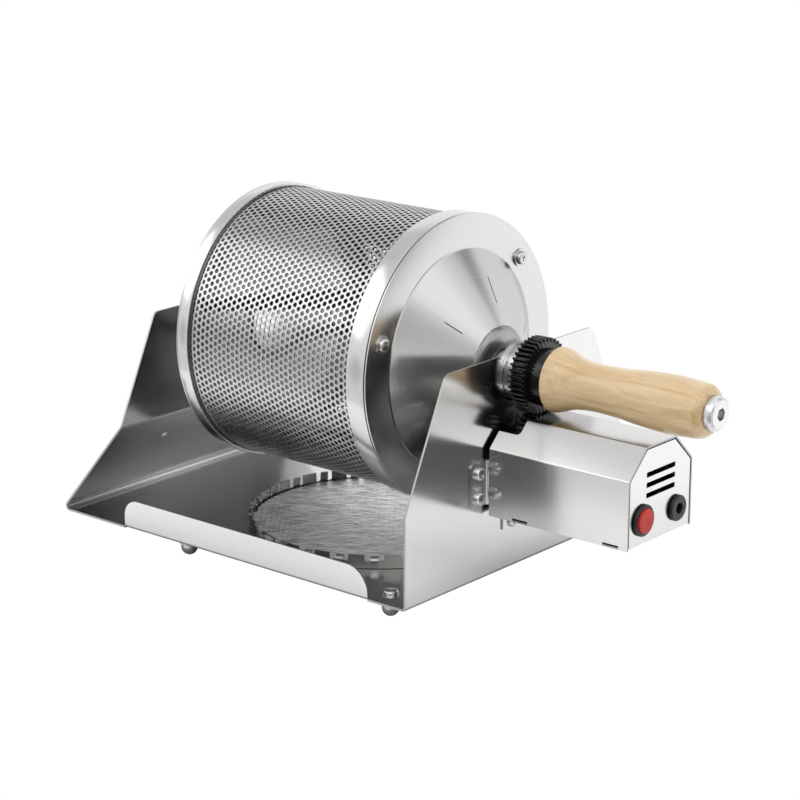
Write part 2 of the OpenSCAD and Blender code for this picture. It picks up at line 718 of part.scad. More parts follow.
module motor_can() {
    color([0.62, 0.63, 0.65]) {
        along(motor_x, motor_h) cylinder(r = motor_r, h = motor_len);
        along(motor_x + motor_len - 0.2, motor_h) cylinder(r = 5.5, h = 2.4);
        for (s = [-1, 1]) place() translate([motor_x + motor_len - 0.2, s * 11 - 1.4, motor_h - 0.3])
            cube([5, 2.8, 0.6]);
    }
}

module motor_shaft() {
    color([0.8, 0.8, 0.82]) along(gear_x - 0.5, pinion_h) cylinder(r = shaft_r, h = gearbox_x + 11.5 - gear_x, $fn = 48);
}

module pinion() {
    color([0.78, 0.65, 0.35]) along(gear_x, pinion_h) difference() {
        linear_extrude(gear_w) rotate(180 / pinion_teeth)
            polygon(gear_points(pinion_teeth, gear_m, 0.17));
        translate([0, 0, -1]) cylinder(r = shaft_r, h = gear_w + 2, $fn = 48);
    }
}

// Round push switch, its cap free to move inside the bezel.
module switch_body() {
    color([0.07, 0.07, 0.08]) along(case_x, switch_h, switch_y) difference() {
        union() {
            cylinder(r = 8.6, h = 0.8);
            translate([0, 0, 0.79]) cylinder(r1 = 8.6, r2 = 7.9, h = 0.7);
            translate([0, 0, -12]) cylinder(r = switch_r, h = 12.1);
            for (s = [-1, 1]) translate([-0.4, s * 3 - 1.4, -15.5]) cube([0.8, 2.8, 4]);
        }
        translate([0, 0, -5]) cylinder(r = cap_r + bore_gap, h = 8);
        translate([0, 0, -8]) cylinder(r = 2.8 + bore_gap, h = 4);
    }
}

module switch_nut() {
    color([0.09, 0.09, 0.1]) along(case_x - case_t - 2.5, switch_h, switch_y) hex_nut(19, 2.5, switch_r);
}

module switch_cap() {
    color([0.75, 0.07, 0.08]) along(case_x, switch_h, switch_y) {
        translate([0, 0, -2.6]) cylinder(r = cap_r, h = 4.6);
        translate([0, 0, 1.99]) cylinder(r1 = cap_r, r2 = cap_r - 0.7, h = 0.5);
        translate([0, 0, -5.5]) cylinder(r = 2.8, h = 3.5);
    }
}

module jack_body() {
    color([0.08, 0.08, 0.09]) along(case_x, jack_h, jack_y) difference() {
        union() {
            cylinder(r = 7.1, h = 1.1);
            translate([0, 0, 1.09]) cylinder(r1 = 7.1, r2 = 6.5, h = 0.6);
            translate([0, 0, -11]) cylinder(r = 5, h = 11.2);
        }
        translate([0, 0, -8]) cylinder(r = 2.85, h = 12);
    }
}

module jack_nut() {
    color([0.09, 0.09, 0.1]) along(case_x - case_t - 2.5, jack_h, jack_y) hex_nut(13, 2.5, 5);
}

base_sheet();
right_plate();
left_panel();
feet();
foot_screws();
burner_ring();
gauze_pan();
drum_shell();
left_band();
right_band();
left_end_cap();
journal_tube();
right_end_cap();
neck_cap();
end_cap_washers();
end_cap_screws();
end_cap_nuts();
mixing_vanes();
drum_axle();
drum_gear();
bearing_collar();
handle();
handle_stud();
handle_end_nut();
case_cover();
case_tray();
cover_screws();
cover_nuts();
tray_screws();
motor_bracket();
bracket_screws();
gearbox();
motor_can();
motor_shaft();
pinion();
switch_body();
switch_nut();
switch_cap();
jack_body();
jack_nut();
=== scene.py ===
from math import acos, atan2, copysign, cos, degrees, hypot, pi, radians, sin, sqrt, tan

import bmesh
import bpy
from mathutils import Matrix, Vector
from mathutils.geometry import delaunay_2d_cdt


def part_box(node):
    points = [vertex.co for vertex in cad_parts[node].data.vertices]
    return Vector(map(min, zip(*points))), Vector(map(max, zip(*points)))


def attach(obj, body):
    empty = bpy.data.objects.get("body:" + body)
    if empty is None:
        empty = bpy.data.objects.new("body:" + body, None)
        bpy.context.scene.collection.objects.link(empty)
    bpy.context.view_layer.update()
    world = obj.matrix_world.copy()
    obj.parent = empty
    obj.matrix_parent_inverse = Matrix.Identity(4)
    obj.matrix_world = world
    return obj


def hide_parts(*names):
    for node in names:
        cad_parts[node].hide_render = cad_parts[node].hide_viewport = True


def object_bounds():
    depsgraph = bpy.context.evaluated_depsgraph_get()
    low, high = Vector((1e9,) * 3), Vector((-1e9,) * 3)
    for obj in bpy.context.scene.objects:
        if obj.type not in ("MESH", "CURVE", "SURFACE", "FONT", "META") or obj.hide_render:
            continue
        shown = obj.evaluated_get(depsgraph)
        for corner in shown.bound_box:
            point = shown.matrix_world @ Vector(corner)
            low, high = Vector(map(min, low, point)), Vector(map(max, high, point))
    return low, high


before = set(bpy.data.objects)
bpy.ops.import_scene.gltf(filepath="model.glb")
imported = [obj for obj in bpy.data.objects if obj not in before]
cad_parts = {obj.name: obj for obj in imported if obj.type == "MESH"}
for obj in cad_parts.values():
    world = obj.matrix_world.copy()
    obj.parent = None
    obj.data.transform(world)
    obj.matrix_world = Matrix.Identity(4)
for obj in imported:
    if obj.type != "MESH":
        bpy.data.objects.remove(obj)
cad_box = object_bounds()

# The CAD is in metres. Lengths below are in millimetres and scaled where points are placed.
MM = 0.001
PLATE_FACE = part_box("right_plate")[1][0]
BASE_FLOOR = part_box("base_sheet")[0][2]
CIRCLE = 2 * pi
# Base and end plates: drum axis, sheet, half depth, inside length, plate top, knee height and taper.
AXIS = 109.4
SHEET = 1.2
HALF = 97.1
BAY = 209.0
TOP = 121.3
KNEE = 51.2
TAPER = 0.468
# Left panel: height of its fold, and the lean of its lower part in degrees.
FOLD_H = 59.0
SLOPE = 49.3
# Bends, measured to the middle of the sheet: the usual one, the slope's foot, and how far a usual one reaches.
BEND = 1.8
FOOT_BEND = 2.4
BEND_REACH = BEND + SHEET / 2
# Bearing slots right and left, the burner hole, and the two holes in the slope.
SLOT_R, MOUTH_SLOT_R = 16.1, 20.1
BURNER_HOLE_R = 70
SLOPE_HOLE_Y, SLOPE_HOLE_Z = 48.4, 41.5
# Lips: where they start and end, and their height above the middle of the base.
LIP_NEAR, LIP_FAR = 26.1, 208.5
LIP_H = 17.5
# Motor housing: end face, middle, half width, shoulder, roof, half roof and underside.
CASE_X = 92.6
CASE_Y = -1.5
CASE_HALF, SHOULDER, ROOF, ROOF_HALF, CASE_Z = 29.0, 73.6, 88.9, 13.35, 36.3
CASE_SHEET = 1.0
# Burner ring and gauze.
RING_X = -99.0
RING_R = 75.8
GAUZE_Z = 4.7
GAUZE_TURN = 38.0
# Screws: distances from the plate's face, the middle and the base.
FOOT_XS, FOOT_Y = (22.5, 171.8), 82.3
COVER_BOLT_ZS = (47.1, 61.2)
COVER_BOLTS = [(CASE_Y + side * 36.1, height) for side in (-1, 1) for height in COVER_BOLT_ZS]
TRAY_BOLT_Y, TRAY_BOLT_Z = 7, 27
# Perforation: holes round the shell, column step, middle radius, hole radius and sheet.
HOLES_ROUND = 128
COLUMN_STEP = 3.29
MESH_R = 77.4
HOLE_R = 1.375
MESH_SHEET = 0.8


def at(x, y, z):
    """A point counted from the right end plate's face, the drum axis and the base's underside."""
    return Vector((PLATE_FACE + x * MM, y * MM, BASE_FLOOR + z * MM))


# -------- shapes


class Shape:
    """Points in metres, faces, one flat map pair per face corner, and which faces are a sheet's cut edge."""

    def __init__(self, verts=(), faces=(), flat=(), cut=()):
        self.verts, self.faces, self.cut = list(verts), list(faces), list(cut)
        self.uvs = [tuple(flat[k % len(flat)]) for face in self.faces for k in face] if flat else []

    def add(self, *others):
        for other in others:
            first = len(self.verts)
            self.verts += other.verts
            self.faces += [tuple(k + first for k in face) for face in other.faces]
            self.uvs += other.uvs
            self.cut += (other.cut + [0] * len(other.faces))[:len(other.faces)]
        return self


def in_scene(name, data):
    """A new object that holds the data."""
    obj = bpy.data.objects.new(name, data)
    bpy.context.scene.collection.objects.link(obj)
    return obj


def shade(mesh, sharp_angle):
    mesh.polygons.foreach_set("use_smooth", [True] * len(mesh.polygons))
    mesh.set_sharp_from_angle(angle=radians(sharp_angle))


def clean(mesh, sharp_angle, merge=0.0, close=False):
    """Welds points, closes four-sided open ends if asked, turns the faces outward and shades them."""
    work = bmesh.new()
    work.from_mesh(mesh)
    if merge:
        bmesh.ops.remove_doubles(work, verts=work.verts, dist=merge)
    if close:
        bmesh.ops.holes_fill(work, edges=[edge for edge in work.edges if edge.is_boundary], sides=4)
    bmesh.ops.recalc_face_normals(work, faces=work.faces)
    work.to_mesh(mesh)
    work.free()
    shade(mesh, sharp_angle)


def build(name, shape, sharp_angle=32.0):
    """An outward-facing mesh object from a shape."""
    mesh = bpy.data.meshes.new(name)
    mesh.from_pydata([tuple(v) for v in shape.verts], [], shape.faces)
    layer = mesh.uv_layers.new(name="flat")
    for item, pair in zip(layer.data, shape.uvs):
        item.uv = pair
    for face, cut in zip(mesh.polygons, shape.cut):
        face.material_index = cut
    clean(mesh, sharp_angle, merge=0.002 * MM)
    return in_scene(name, mesh)


def settle(obj, remove=(), sharp_angle=None):
    """Applies the piece's modifiers, leaving a plain mesh."""
    graph = bpy.context.evaluated_depsgraph_get()
    graph.update()
    mesh = bpy.data.meshes.new_from_object(obj.evaluated_get(graph))
    old = obj.data
    obj.modifiers.clear()
    obj.data = mesh
    bpy.data.meshes.remove(old)
    mesh.name = obj.name
    for other in remove:
        bpy.data.objects.remove(other)
    if sharp_angle:
        shade(mesh, sharp_angle)
    return obj


def carve(obj, cutter, sharp_angle):
    """Takes the cutter's volume out of the piece."""
    tool = obj.modifiers.new("carve", "BOOLEAN")
    tool.operation = "DIFFERENCE"
    tool.solver = "EXACT"
    tool.object = cutter
    return settle(obj, [cutter], sharp_angle)


def softened(points, radius, steps):
    """A closed section with its corners turned into small curves, so that edges catch the light."""
    out = []
    for i, point in enumerate(points):
        here = Vector(point)
        before = Vector(points[i - 1]) - here
        after = Vector(points[(i + 1) % len(points)]) - here
        if before.length < 1e-6 or after.length < 1e-6 or before.angle(after) > radians(163):
            out.append(tuple(point))
            continue
        reach = min(radius / tan(before.angle(after) / 2), before.length * 0.45, after.length * 0.45)
        start = here + before.normalized() * reach
        end = here + after.normalized() * reach
        for k in range(steps + 1):
            t = k / steps
            out.append(tuple(start * (1 - t) ** 2 + here * 2 * t * (1 - t) + end * t * t))
    return out


def heading(angle):
    """The flat unit vector at this angle."""
    return Vector((cos(angle), sin(angle)))


def left_of(angle):
    """The direction a quarter turn to the left of this heading."""
    return Vector((-sin(angle), cos(angle)))


def corner_arc(before, here, after, radius, steps):
    """Points of a true rounded corner between two straight edges."""
    here = Vector(here)
    u = (Vector(before) - here).normalized()
    v = (Vector(after) - here).normalized()
    half = u.angle(v) / 2
    middle = here + (u + v).normalized() * (radius / sin(half))
    start = here + u * (radius / tan(half)) - middle
    end = here + v * (radius / tan(half)) - middle
    a0 = atan2(start.y, start.x)
    span = (atan2(end.y, end.x) - a0 + 3 * pi) % CIRCLE - pi
    angles = [a0 + span * k / steps for k in range(steps + 1)]
    return [tuple(middle + heading(a) * radius) for a in angles]


def rounded(corners):
    """The open line through (u, v) corners; a corner (u, v, radius, steps) becomes an arc."""
    out = []
    for i, corner in enumerate(corners):
        if len(corner) == 2:
            out.append(corner)
        else:
            out += corner_arc(corners[i - 1][:2], corner[:2], corners[i + 1][:2], *corner[2:])
    return out


def circle_points(x, y, radius, steps=40, turn=0.0):
    angles = [turn + CIRCLE * k / steps for k in range(steps)]
    return [(x + radius * cos(a), y + radius * sin(a)) for a in angles]


def lathe(profile, steps, y=0.0, z=AXIS, edge=0.15, arc_points=3):
    """A solid turned about a line along X; the profile is its closed (x, radius) section."""
    section = softened(profile, edge, arc_points) if edge else list(profile)
    count = len(section)
    shape = Shape()
    run = [0.0]
    for j in range(1, count + 1):
        a, b = section[j - 1], section[j % count]
        run.append(run[-1] + hypot(b[0] - a[0], b[1] - a[1]))
    for i in range(steps):
        turn = CIRCLE * i / steps
        for x, radius in section:
            shape.verts.append(at(x, y + radius * cos(turn), z + radius * sin(turn)))
    for i in range(steps):
        n = (i + 1) % steps
        u0, u1 = i / steps, (i + 1) / steps
        for j in range(count):
            m = (j + 1) % count
            at_axis = [section[k][1] < 1e-6 for k in (j, m)]
            if all(at_axis):
                continue
            ring = [
                (i * count + j, (u0, run[j])), (i * count + m, (u0, run[j + 1])),
                (n * count + m, (u1, run[j + 1])), (n * count + j, (u1, run[j])),
            ]
            if at_axis[0]:
                ring = ring[:3]
            elif at_axis[1]:
                ring = [ring[0], ring[1], ring[3]]
            shape.faces.append(tuple(k for k, _ in ring))
            shape.uvs += [pair for _, pair in ring]
    return shape


def inside(point, loop):
    """Even-odd test of a flat point against a closed loop."""
    x, y = point
    hit = False
    for (x0, y0), (x1, y1) in zip(loop, loop[1:] + loop[:1]):
        if (y0 > y) != (y1 > y) and x < (x1 - x0) * (y - y0) / (y1 - y0) + x0:
            hit = not hit
    return hit


class FoldPath:
    """The edge-on line of a bent sheet, read by distance along it.

    A run is the length of a straight stretch, or the (radius, degrees) of a bend."""

    def __init__(self, start, course, runs):
        self.pieces = []
        self.bends = []
        point, angle, s = Vector(start), radians(course), 0.0
        for run in runs:
            if not isinstance(run, tuple):
                self.pieces.append((s, s + run, point.copy(), angle, 0.0))
                point += heading(angle) * run
                s += run
                continue
            size, bend = run
            swing = radians(bend)
            length = size * abs(swing)
            signed = copysign(size, swing)
            self.pieces.append((s, s + length, point.copy(), angle, signed))
            steps = max(2, int(abs(bend) / 9))
            self.bends += [s + length * k / steps for k in range(steps + 1)]
            centre = point + left_of(angle) * signed
            angle += swing
            point = centre - left_of(angle) * signed
            s += length
        self.length = s
        self.starts = [piece[0] for piece in self.pieces]

    def read(self, s):
        """Point and left-hand normal at distance s."""
        for s0, s1, point, angle, radius in self.pieces:
            if s <= s1 + 1e-9:
                break
        if radius == 0.0:
            return point + heading(angle) * (s - s0), left_of(angle)
        normal = left_of(angle + (s - s0) / radius)
        return point + left_of(angle) * radius - normal * radius, normal

    def section(self, thickness):
        """The closed (x, radius) section of a turned sheet that follows this line."""
        spots = [self.read(s) for s in sorted({0.0, self.length, *self.bends})]
        near = [point + normal * thickness / 2 for point, normal in spots]
        far = [point - normal * thickness / 2 for point, normal in reversed(spots)]
        return [tuple(p) for p in near + far]


def cut_sheet(outline, holes, cuts, bend, thickness, open_edge=None):
    """A flat outline with holes, triangulated along the cut lines and bent: bend gives point and normal."""
    points, edges = [], []
    for loop in [outline] + list(holes):
        first = len(points)
        points += [Vector(p) for p in loop]
        edges += [(first + k, first + (k + 1) % len(loop)) for k in range(len(loop))]
    for a, b in cuts:
        edges.append((len(points), len(points) + 1))
        points += [Vector(a), Vector(b)]
    flat, _, tris, *_ = delaunay_2d_cdt(points, edges, [], 0, 1e-5)
    kept = []
    for tri in tris:
        middle = sum((flat[k] for k in tri), Vector((0, 0))) / 3
        if inside(middle, outline) and not any(inside(middle, hole) for hole in holes):
            kept.append(list(tri))
    used = sorted({k for tri in kept for k in tri})
    new = {k: i for i, k in enumerate(used)}
    flat = [flat[k] for k in used]
    count = len(used)
    verts, faces, border = [], [], {}
    for side in (0.5, -0.5):
        for spot in flat:
            point, normal = bend(spot[0], spot[1])
            verts.append(at(*(point + normal * thickness * side)))
    for tri in kept:
        a, b, c = (new[k] for k in tri)
        faces += [(a, b, c), (a + count, c + count, b + count)]
        for e in ((a, b), (b, c), (c, a)):
            key = tuple(sorted(e))
            border[key] = None if key in border else e
    rim = [e for e in border.values() if e and not (open_edge and open_edge(flat[e[0]], flat[e[1]]))]
    faces += [(b, a, a + count, b + count) for a, b in rim]
    return Shape(verts, faces, flat, [0] * (2 * len(kept)) + [1] * len(rim))


def folded(path, outline, holes, thickness, place):
    """A sheet folded along a path; outline and holes are in (distance along the path, across)."""
    low = min(p[1] for p in outline) - 1
    high = max(p[1] for p in outline) + 1
    cuts = [((s, low), (s, high)) for s in path.bends]

    def bend(s, across):
        point, normal = path.read(min(max(s, 0.0), path.length))
        return place(point.x, point.y, across), place(normal.x, normal.y, 0.0) - place(0.0, 0.0, 0.0)

    return cut_sheet(outline, holes, cuts, bend, thickness)


def no_repeats(loop):
    """The closed loop without points that lie on their neighbour."""
    out = []
    for point in loop:
        if not out or (Vector(point) - Vector(out[-1])).length > 1e-4:
            out.append(tuple(point))
    if (Vector(out[0]) - Vector(out[-1])).length < 1e-4:
        out.pop()
    return out


def prism(loop, depth, place):
    """A straight-sided block from a flat loop; place turns (u, v, depth) into a point."""
    count = len(loop)
    verts = [place(u, v, d) for d in (0, depth) for u, v in loop]
    faces = [tuple(range(count))[::-1], tuple(range(count, 2 * count))]
    faces += [(k, (k + 1) % count, (k + 1) % count + count, k + count) for k in range(count)]
    return Shape(verts, faces, loop)


def dress(obj, material, body, slot, *nodes, cut=None):
    """Gives a finished piece its material and body, and hides the CAD nodes it stands for; the slot argument is not
    used.
    """
    mesh = obj.data
    marks = [0] * len(mesh.polygons)
    if cut:
        mesh.polygons.foreach_get("material_index", marks)
    mesh.materials.clear()
    mesh.materials.append(material)
    if cut:
        mesh.materials.append(cut)
    mesh.polygons.foreach_set("material_index", marks)
    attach(obj, body)
    if nodes:
        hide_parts(*nodes)
    return obj


def turned(name, section, steps, edge, material, body, slot, *nodes, spot=(0.0, AXIS), arc_points=3, sharp_angle=32.0):
    """A dressed piece turned about the drum axis, or about the line along X at the (y, z) spot."""
    shape = lathe(section, steps, *spot, edge=edge, arc_points=arc_points)
    return dress(build(name, shape, sharp_angle), material, body, slot, *nodes)


# -------- node trees


class Wire:
    """One output of a node. Arithmetic on it adds Math nodes, and an index picks another output."""

    def __init__(self, net, node, key=0):
        self.net, self.node, self.key = net, node, key

    def __getitem__(self, key):
        return Wire(self.net, self.node, key)

    def maths(self, operation, *others):
        return self.net.add("ShaderNodeMath", dict(enumerate((self, *others))), operation=operation)

    def __add__(self, other):
        return self.maths("ADD", other)

    def __sub__(self, other):
        return self.maths("SUBTRACT", other)

    def __mul__(self, other):
        return self.maths("MULTIPLY", other)

    def __truediv__(self, other):
        return self.maths("DIVIDE", other)


class Net:
    """A node tree that is being filled."""

    def __init__(self, tree):
        self.tree = tree

    def feed(self, value, socket):
        """Links a wire to the input, or gives it the plain value."""
        if isinstance(value, Wire):
            self.tree.links.new(value.node.outputs[value.key], socket)
        else:
            socket.default_value = value

    def add(self, kind, links=None, **settings):
        """A node with its settings; links maps an input's name or number to a wire or a value."""
        node = self.tree.nodes.new(kind)
        for key, value in settings.items():
            setattr(node, key, value)
        for key, value in (links or {}).items():
            self.feed(value, node.inputs[key])
        return Wire(self, node)

    def ramp(self, source, *stops):
        """A colour ramp; stops are (place, grey or colour)."""
        wire = self.add("ShaderNodeValToRGB", {0: source})
        band = wire.node.color_ramp
        while len(band.elements) < len(stops):
            band.elements.new(0.5)
        for element, (place, colour) in zip(band.elements, stops):
            element.position = place
            element.color = (*colour, 1) if isinstance(colour, tuple) else (colour, colour, colour, 1)
        return wire

    def fade(self, source, start, end, low, high):
        """A soft step from low to high while the source goes from start to end."""
        links = dict(enumerate((source, start, end, low, high)))
        return self.add("ShaderNodeMapRange", links, interpolation_type="SMOOTHSTEP")

    def point(self):
        return self.add("ShaderNodeTexCoord")["Object"]

    def moved(self, vector, **moves):
        return self.add("ShaderNodeMapping", {"Vector": vector, **moves})

    def noise(self, vector, scale, detail=3.0, rough=0.55, distortion=0.0):
        links = {"Vector": vector, "Scale": scale, "Detail": detail, "Roughness": rough, "Distortion": distortion}
        return self.add("ShaderNodeTexNoise", links)

    def streaks(self, vector, scale, detail, rough=0.55, distortion=0.0):
        """Noise stretched by the (x, y, z) scale."""
        return self.noise(self.moved(vector, Scale=scale), 1.0, detail, rough, distortion)

    def copies(self, points, instance, **more):
        """Real copies of the instance on the points."""
        links = {"Points": points, "Instance": instance, **more}
        return self.add("GeometryNodeRealizeInstances", {0: self.add("GeometryNodeInstanceOnPoints", links)})

    def end(self, geometry, material):
        """Makes sure that all of it is real, paints it and gives it out."""
        real = self.add("GeometryNodeRealizeInstances", {0: geometry})
        painted = self.add("GeometryNodeSetMaterial", {"Geometry": real, "Material": material})
        self.add("NodeGroupOutput", {0: painted})
        return self.tree


def new_material(name):
    material = bpy.data.materials.new(name)
    material.use_nodes = True
    net = Net(material.node_tree)
    net.tree.nodes.clear()
    bsdf = net.add("ShaderNodeBsdfPrincipled")
    net.add("ShaderNodeOutputMaterial", {0: bsdf})
    return material, net, bsdf


def finish(net, bsdf, colour, rough, bump, **values):
    """Feeds the shader. rough is (source, from, to, low, high); bump is (height, strength, distance)."""
    height, strength, distance = bump
    relief = net.add("ShaderNodeBump", {"Height": height, "Strength": strength, "Distance": distance})
    gloss = net.add("ShaderNodeMapRange", dict(enumerate(rough)))
    for key, value in {"Base Color": colour, "Roughness": gloss, "Normal": relief, **values}.items():
        net.feed(value, bsdf.node.inputs[key])


def spun_point(net):
    """Coordinates that only change along the drum axis and outward, for marks that run round it."""
    centre = net.moved(net.point(), Location=(-PLATE_FACE, 0, -(BASE_FLOOR + AXIS * MM)))
    split = net.add("ShaderNodeSeparateXYZ", {0: centre})
    radius = (split[1] * split[1] + split[2] * split[2]).maths("SQRT")
    return net.add("ShaderNodeCombineXYZ", {0: split, 1: radius, 2: 0.0})


def steel(name, colour, rough, grain, fine=1.0, depth=0.02, patch=0.04, spread=0.08):
    """Brushed metal. colour is a colour or a warm grey's level.

    grain is "spun", "flat" (the sheet's own flat map) or a scale along X, Y, Z."""
    if not isinstance(colour, tuple):
        colour = (colour, colour - 0.003, colour - 0.01)
    material, net, bsdf = new_material(name)
    if grain == "spun":
        place, grain = spun_point(net), (1500 * fine, 1500 * fine, 1)
    elif grain == "flat":
        place, grain = net.add("ShaderNodeUVMap", uv_map="flat"), (0.012, 1.6 * fine, 1)
    else:
        place = net.point()
    streak = net.streaks(place, grain, 4.0, 0.65)
    both = streak * 0.7 + net.noise(net.point(), 14.0, 3.0, 0.5) * 0.3
    low = tuple(c * (1 - patch) for c in colour)
    high = tuple(min(1, c * (1 + patch)) for c in colour)
    gloss = (both, 0.3, 0.7, rough - spread / 2, rough + spread / 2)
    finish(net, bsdf, net.ramp(both, (0.3, low), (0.7, high)), gloss, (streak, depth, 0.0002), Metallic=1.0)
    return material


def wire_cloth(name):
    """Steel wire whose tone changes in long thin streaks along the weave. Its tone is raised overall, and to near white
    in a few strands, as painted highlights of the wires' glints.
    """
    material, net, bsdf = new_material(name)
    parts = []
    for turn, wide, share in ((0, 1500, 0.46), (27, 900, 0.27), (-23, 900, 0.27)):
        spun = net.moved(net.point(), Rotation=(0, 0, -radians(GAUZE_TURN + turn)))
        parts.append(net.streaks(spun, (60, wide, 1), 2.0, 0.6) * share)
    total = parts[0] + parts[1] + parts[2]
    # The light stops are painted highlights; the streaks along the weave are the wire's own tone.
    tone = net.ramp(total, (0.43, (0.34, 0.337, 0.33)), (0.5, (0.74, 0.737, 0.73)), (0.57, (1.0, 0.995, 0.985)))
    finish(net, bsdf, tone, (total, 0.35, 0.65, 0.55, 0.36), (total, 0.8, 0.0006), Metallic=1.0)
    return material


def plastic(name, colour, rough, shine):
    """Moulded plastic with a fine grain and slow changes of tone and gloss."""
    material, net, bsdf = new_material(name)
    grain = net.noise(net.point(), 900.0, 2.0)
    cloud = net.noise(net.point(), 60.0, 3.0)
    low = tuple(c * 0.82 for c in colour)
    high = tuple(min(1, c * 1.15 + 0.002) for c in colour)
    gloss = (cloud, 0.3, 0.7, rough * 0.85, rough * 1.15)
    tone = net.ramp(cloud, (0.35, low), (0.65, high))
    finish(net, bsdf, tone, gloss, (grain, 0.03, 0.0001), **{"Specular IOR Level": shine})
    return material


def beech(name):
    """Pale varnished wood with long grain along the grip and short dark flecks."""
    material, net, bsdf = new_material(name)
    point = net.point()
    bend = net.streaks(point, (9, 40, 40), 2.0)
    rings = net.streaks(point, (7, 160, 160), 3.0, 0.6, 1.4)
    fibre = net.streaks(point, (60, 2400, 2400), 3.0, 0.7)
    fleck = net.streaks(point, (260, 2600, 2600), 2.0, 0.6)
    mix = rings * 0.62 + fibre * 0.22 + bend * 0.16
    tone = net.ramp(mix, (0.32, (0.39, 0.25, 0.11)), (0.5, (0.54, 0.38, 0.195)), (0.68, (0.64, 0.49, 0.29)))
    pale = net.ramp(fleck, (0.26, 0.0), (0.36, 1.0))
    blend = net.add("ShaderNodeMix", {0: pale, 6: (0.33, 0.22, 0.12, 1), 7: tone}, data_type="RGBA")
    varnish = {"Coat Weight": 0.7, "Coat Roughness": 0.16}
    finish(net, bsdf, blend[2], (fibre, 0.3, 0.7, 0.34, 0.46), (fibre, 0.12, 0.0002), **varnish)
    return material


SHEET_STEEL = steel("satin_sheet_steel", 0.59, 0.17, "flat", depth=0.015, spread=0.05)
# Darker steel on the cut edges: partly the sheared edge's own dull face, partly painted shade along the sheets'
# outlines.
CUT_EDGE_AND_SHADE = steel("sheared_edge_steel", 0.33, 0.32, (700, 700, 700), depth=0.08)
CASE_STEEL = steel("satin_case_steel", 0.6, 0.2, "flat", depth=0.012, patch=0.02, spread=0.04)
BAND_STEEL = steel("spun_band_steel", 0.57, 0.18, "spun", depth=0.04)
CAP_STEEL = steel("spun_cap_steel", 0.51, 0.2, "spun", depth=0.05)
MESH_STEEL = steel("perforated_steel", 0.49, 0.26, (900, 60, 60), depth=0.04)
RING_STEEL = steel("burner_strip_steel", 0.29, 0.24, (80, 80, 1600), depth=0.05)
GAUZE_STEEL = wire_cloth("gauze_wire_steel")
# Brighter steel on the feet as a painted reflection of the white floor round them.
FOOT_STEEL = steel("domed_nut_steel", 0.88, 0.16, (500, 500, 500), depth=0.03)
SCREW_STEEL = steel("bright_screw_steel", 0.52, 0.24, (500, 500, 500), depth=0.05)
TURNED_STEEL = steel("turned_steel", 0.5, 0.2, "spun", fine=0.8, depth=0.06)
INNER_STEEL = steel("plain_inner_steel", (0.22, 0.218, 0.215), 0.3, (90, 900, 900), depth=0.06)
# Near-black steel: painted shade for the inside of the drum seen through the holes, and for the gap at the right band.
VANE_SHADE_STEEL = steel("dull_vane_steel", (0.13, 0.129, 0.127), 0.32, (60, 60, 1400), depth=0.08, patch=0.12)
NUT_ALUMINIUM = steel("turned_aluminium", (0.6, 0.6, 0.605), 0.26, "spun", fine=0.7, depth=0.06)
MOTOR_STEEL = steel("plated_motor_steel", (0.5, 0.5, 0.51), 0.32, (400, 400, 400), depth=0.05)
GEAR_BLACK = plastic("glossy_black_gear", (0.002, 0.002, 0.0022), 0.15, 0.4)
BLACK_PLASTIC = plastic("moulded_black", (0.008, 0.008, 0.0085), 0.4, 0.35)
RED_PLASTIC = plastic("glossy_red", (0.44, 0.02, 0.014), 0.3, 0.2)
WOOD = beech("varnished_beech")


# -------- repeated forms


def group_with(name, **inputs):
    """An empty Geometry Nodes tree, and wires from its mesh input and from its named inputs, kind by kind."""
    tree = bpy.data.node_groups.new(name, "GeometryNodeTree")
    for kind, labels in {"Geometry": ["Geometry"], **inputs}.items():
        for label in labels:
            tree.interface.new_socket(name=label, in_out="INPUT", socket_type="NodeSocket" + kind)
    tree.interface.new_socket(name="Geometry", in_out="OUTPUT", socket_type="NodeSocketGeometry")
    net = Net(tree)
    given = net.add("NodeGroupInput")
    return net, *(given[k] for k in range(1 + sum(map(len, inputs.values()))))


def run_group(obj, tree, values):
    """Runs the tree on the piece with these inputs and keeps the plain mesh it makes."""
    tool = obj.modifiers.new(tree.name, "NODES")
    tool.node_group = tree
    for item in tree.interface.items_tree:
        if item.in_out == "INPUT" and item.name in values:
            tool[item.identifier] = values[item.name]
    return settle(obj)


def perforation_tree():
    """Copies one punched cell over a staggered field by index, then wraps the field on a cylinder."""
    net, cell, holes, columns, step, first, shift, radius, height, paint = group_with(
        "punched_drum", Int=["Holes round", "Columns"],
        Float=["Column step", "First column", "First row shift", "Radius", "Centre height"], Material=["Material"],
    )
    dots = net.add("GeometryNodePoints", {"Count": holes * columns})
    index = net.add("GeometryNodeInputIndex")
    column = ((index + 0.5) / holes).maths("FLOOR")
    row = index - column * holes
    half = column.maths("MODULO", 2.0) * 0.5
    pitch = radius * CIRCLE / holes
    place = net.add("ShaderNodeCombineXYZ", {0: first + column * step, 1: (row + half + shift) * pitch})
    spread = net.add("GeometryNodeSetPosition", {"Geometry": dots, "Position": place})
    real = net.copies(spread, cell)
    split = net.add("ShaderNodeSeparateXYZ", {0: net.add("GeometryNodeInputPosition")})
    angle = split[1] / radius
    y, z = angle.maths("COSINE") * radius, angle.maths("SINE") * radius + height
    wrapped = net.add("ShaderNodeCombineXYZ", {0: split, 1: y, 2: z})
    bent = net.add("GeometryNodeSetPosition", {"Geometry": real, "Position": wrapped})
    return net.end(net.add("GeometryNodeMergeByDistance", {"Geometry": bent, "Distance": 0.00004}), paint)


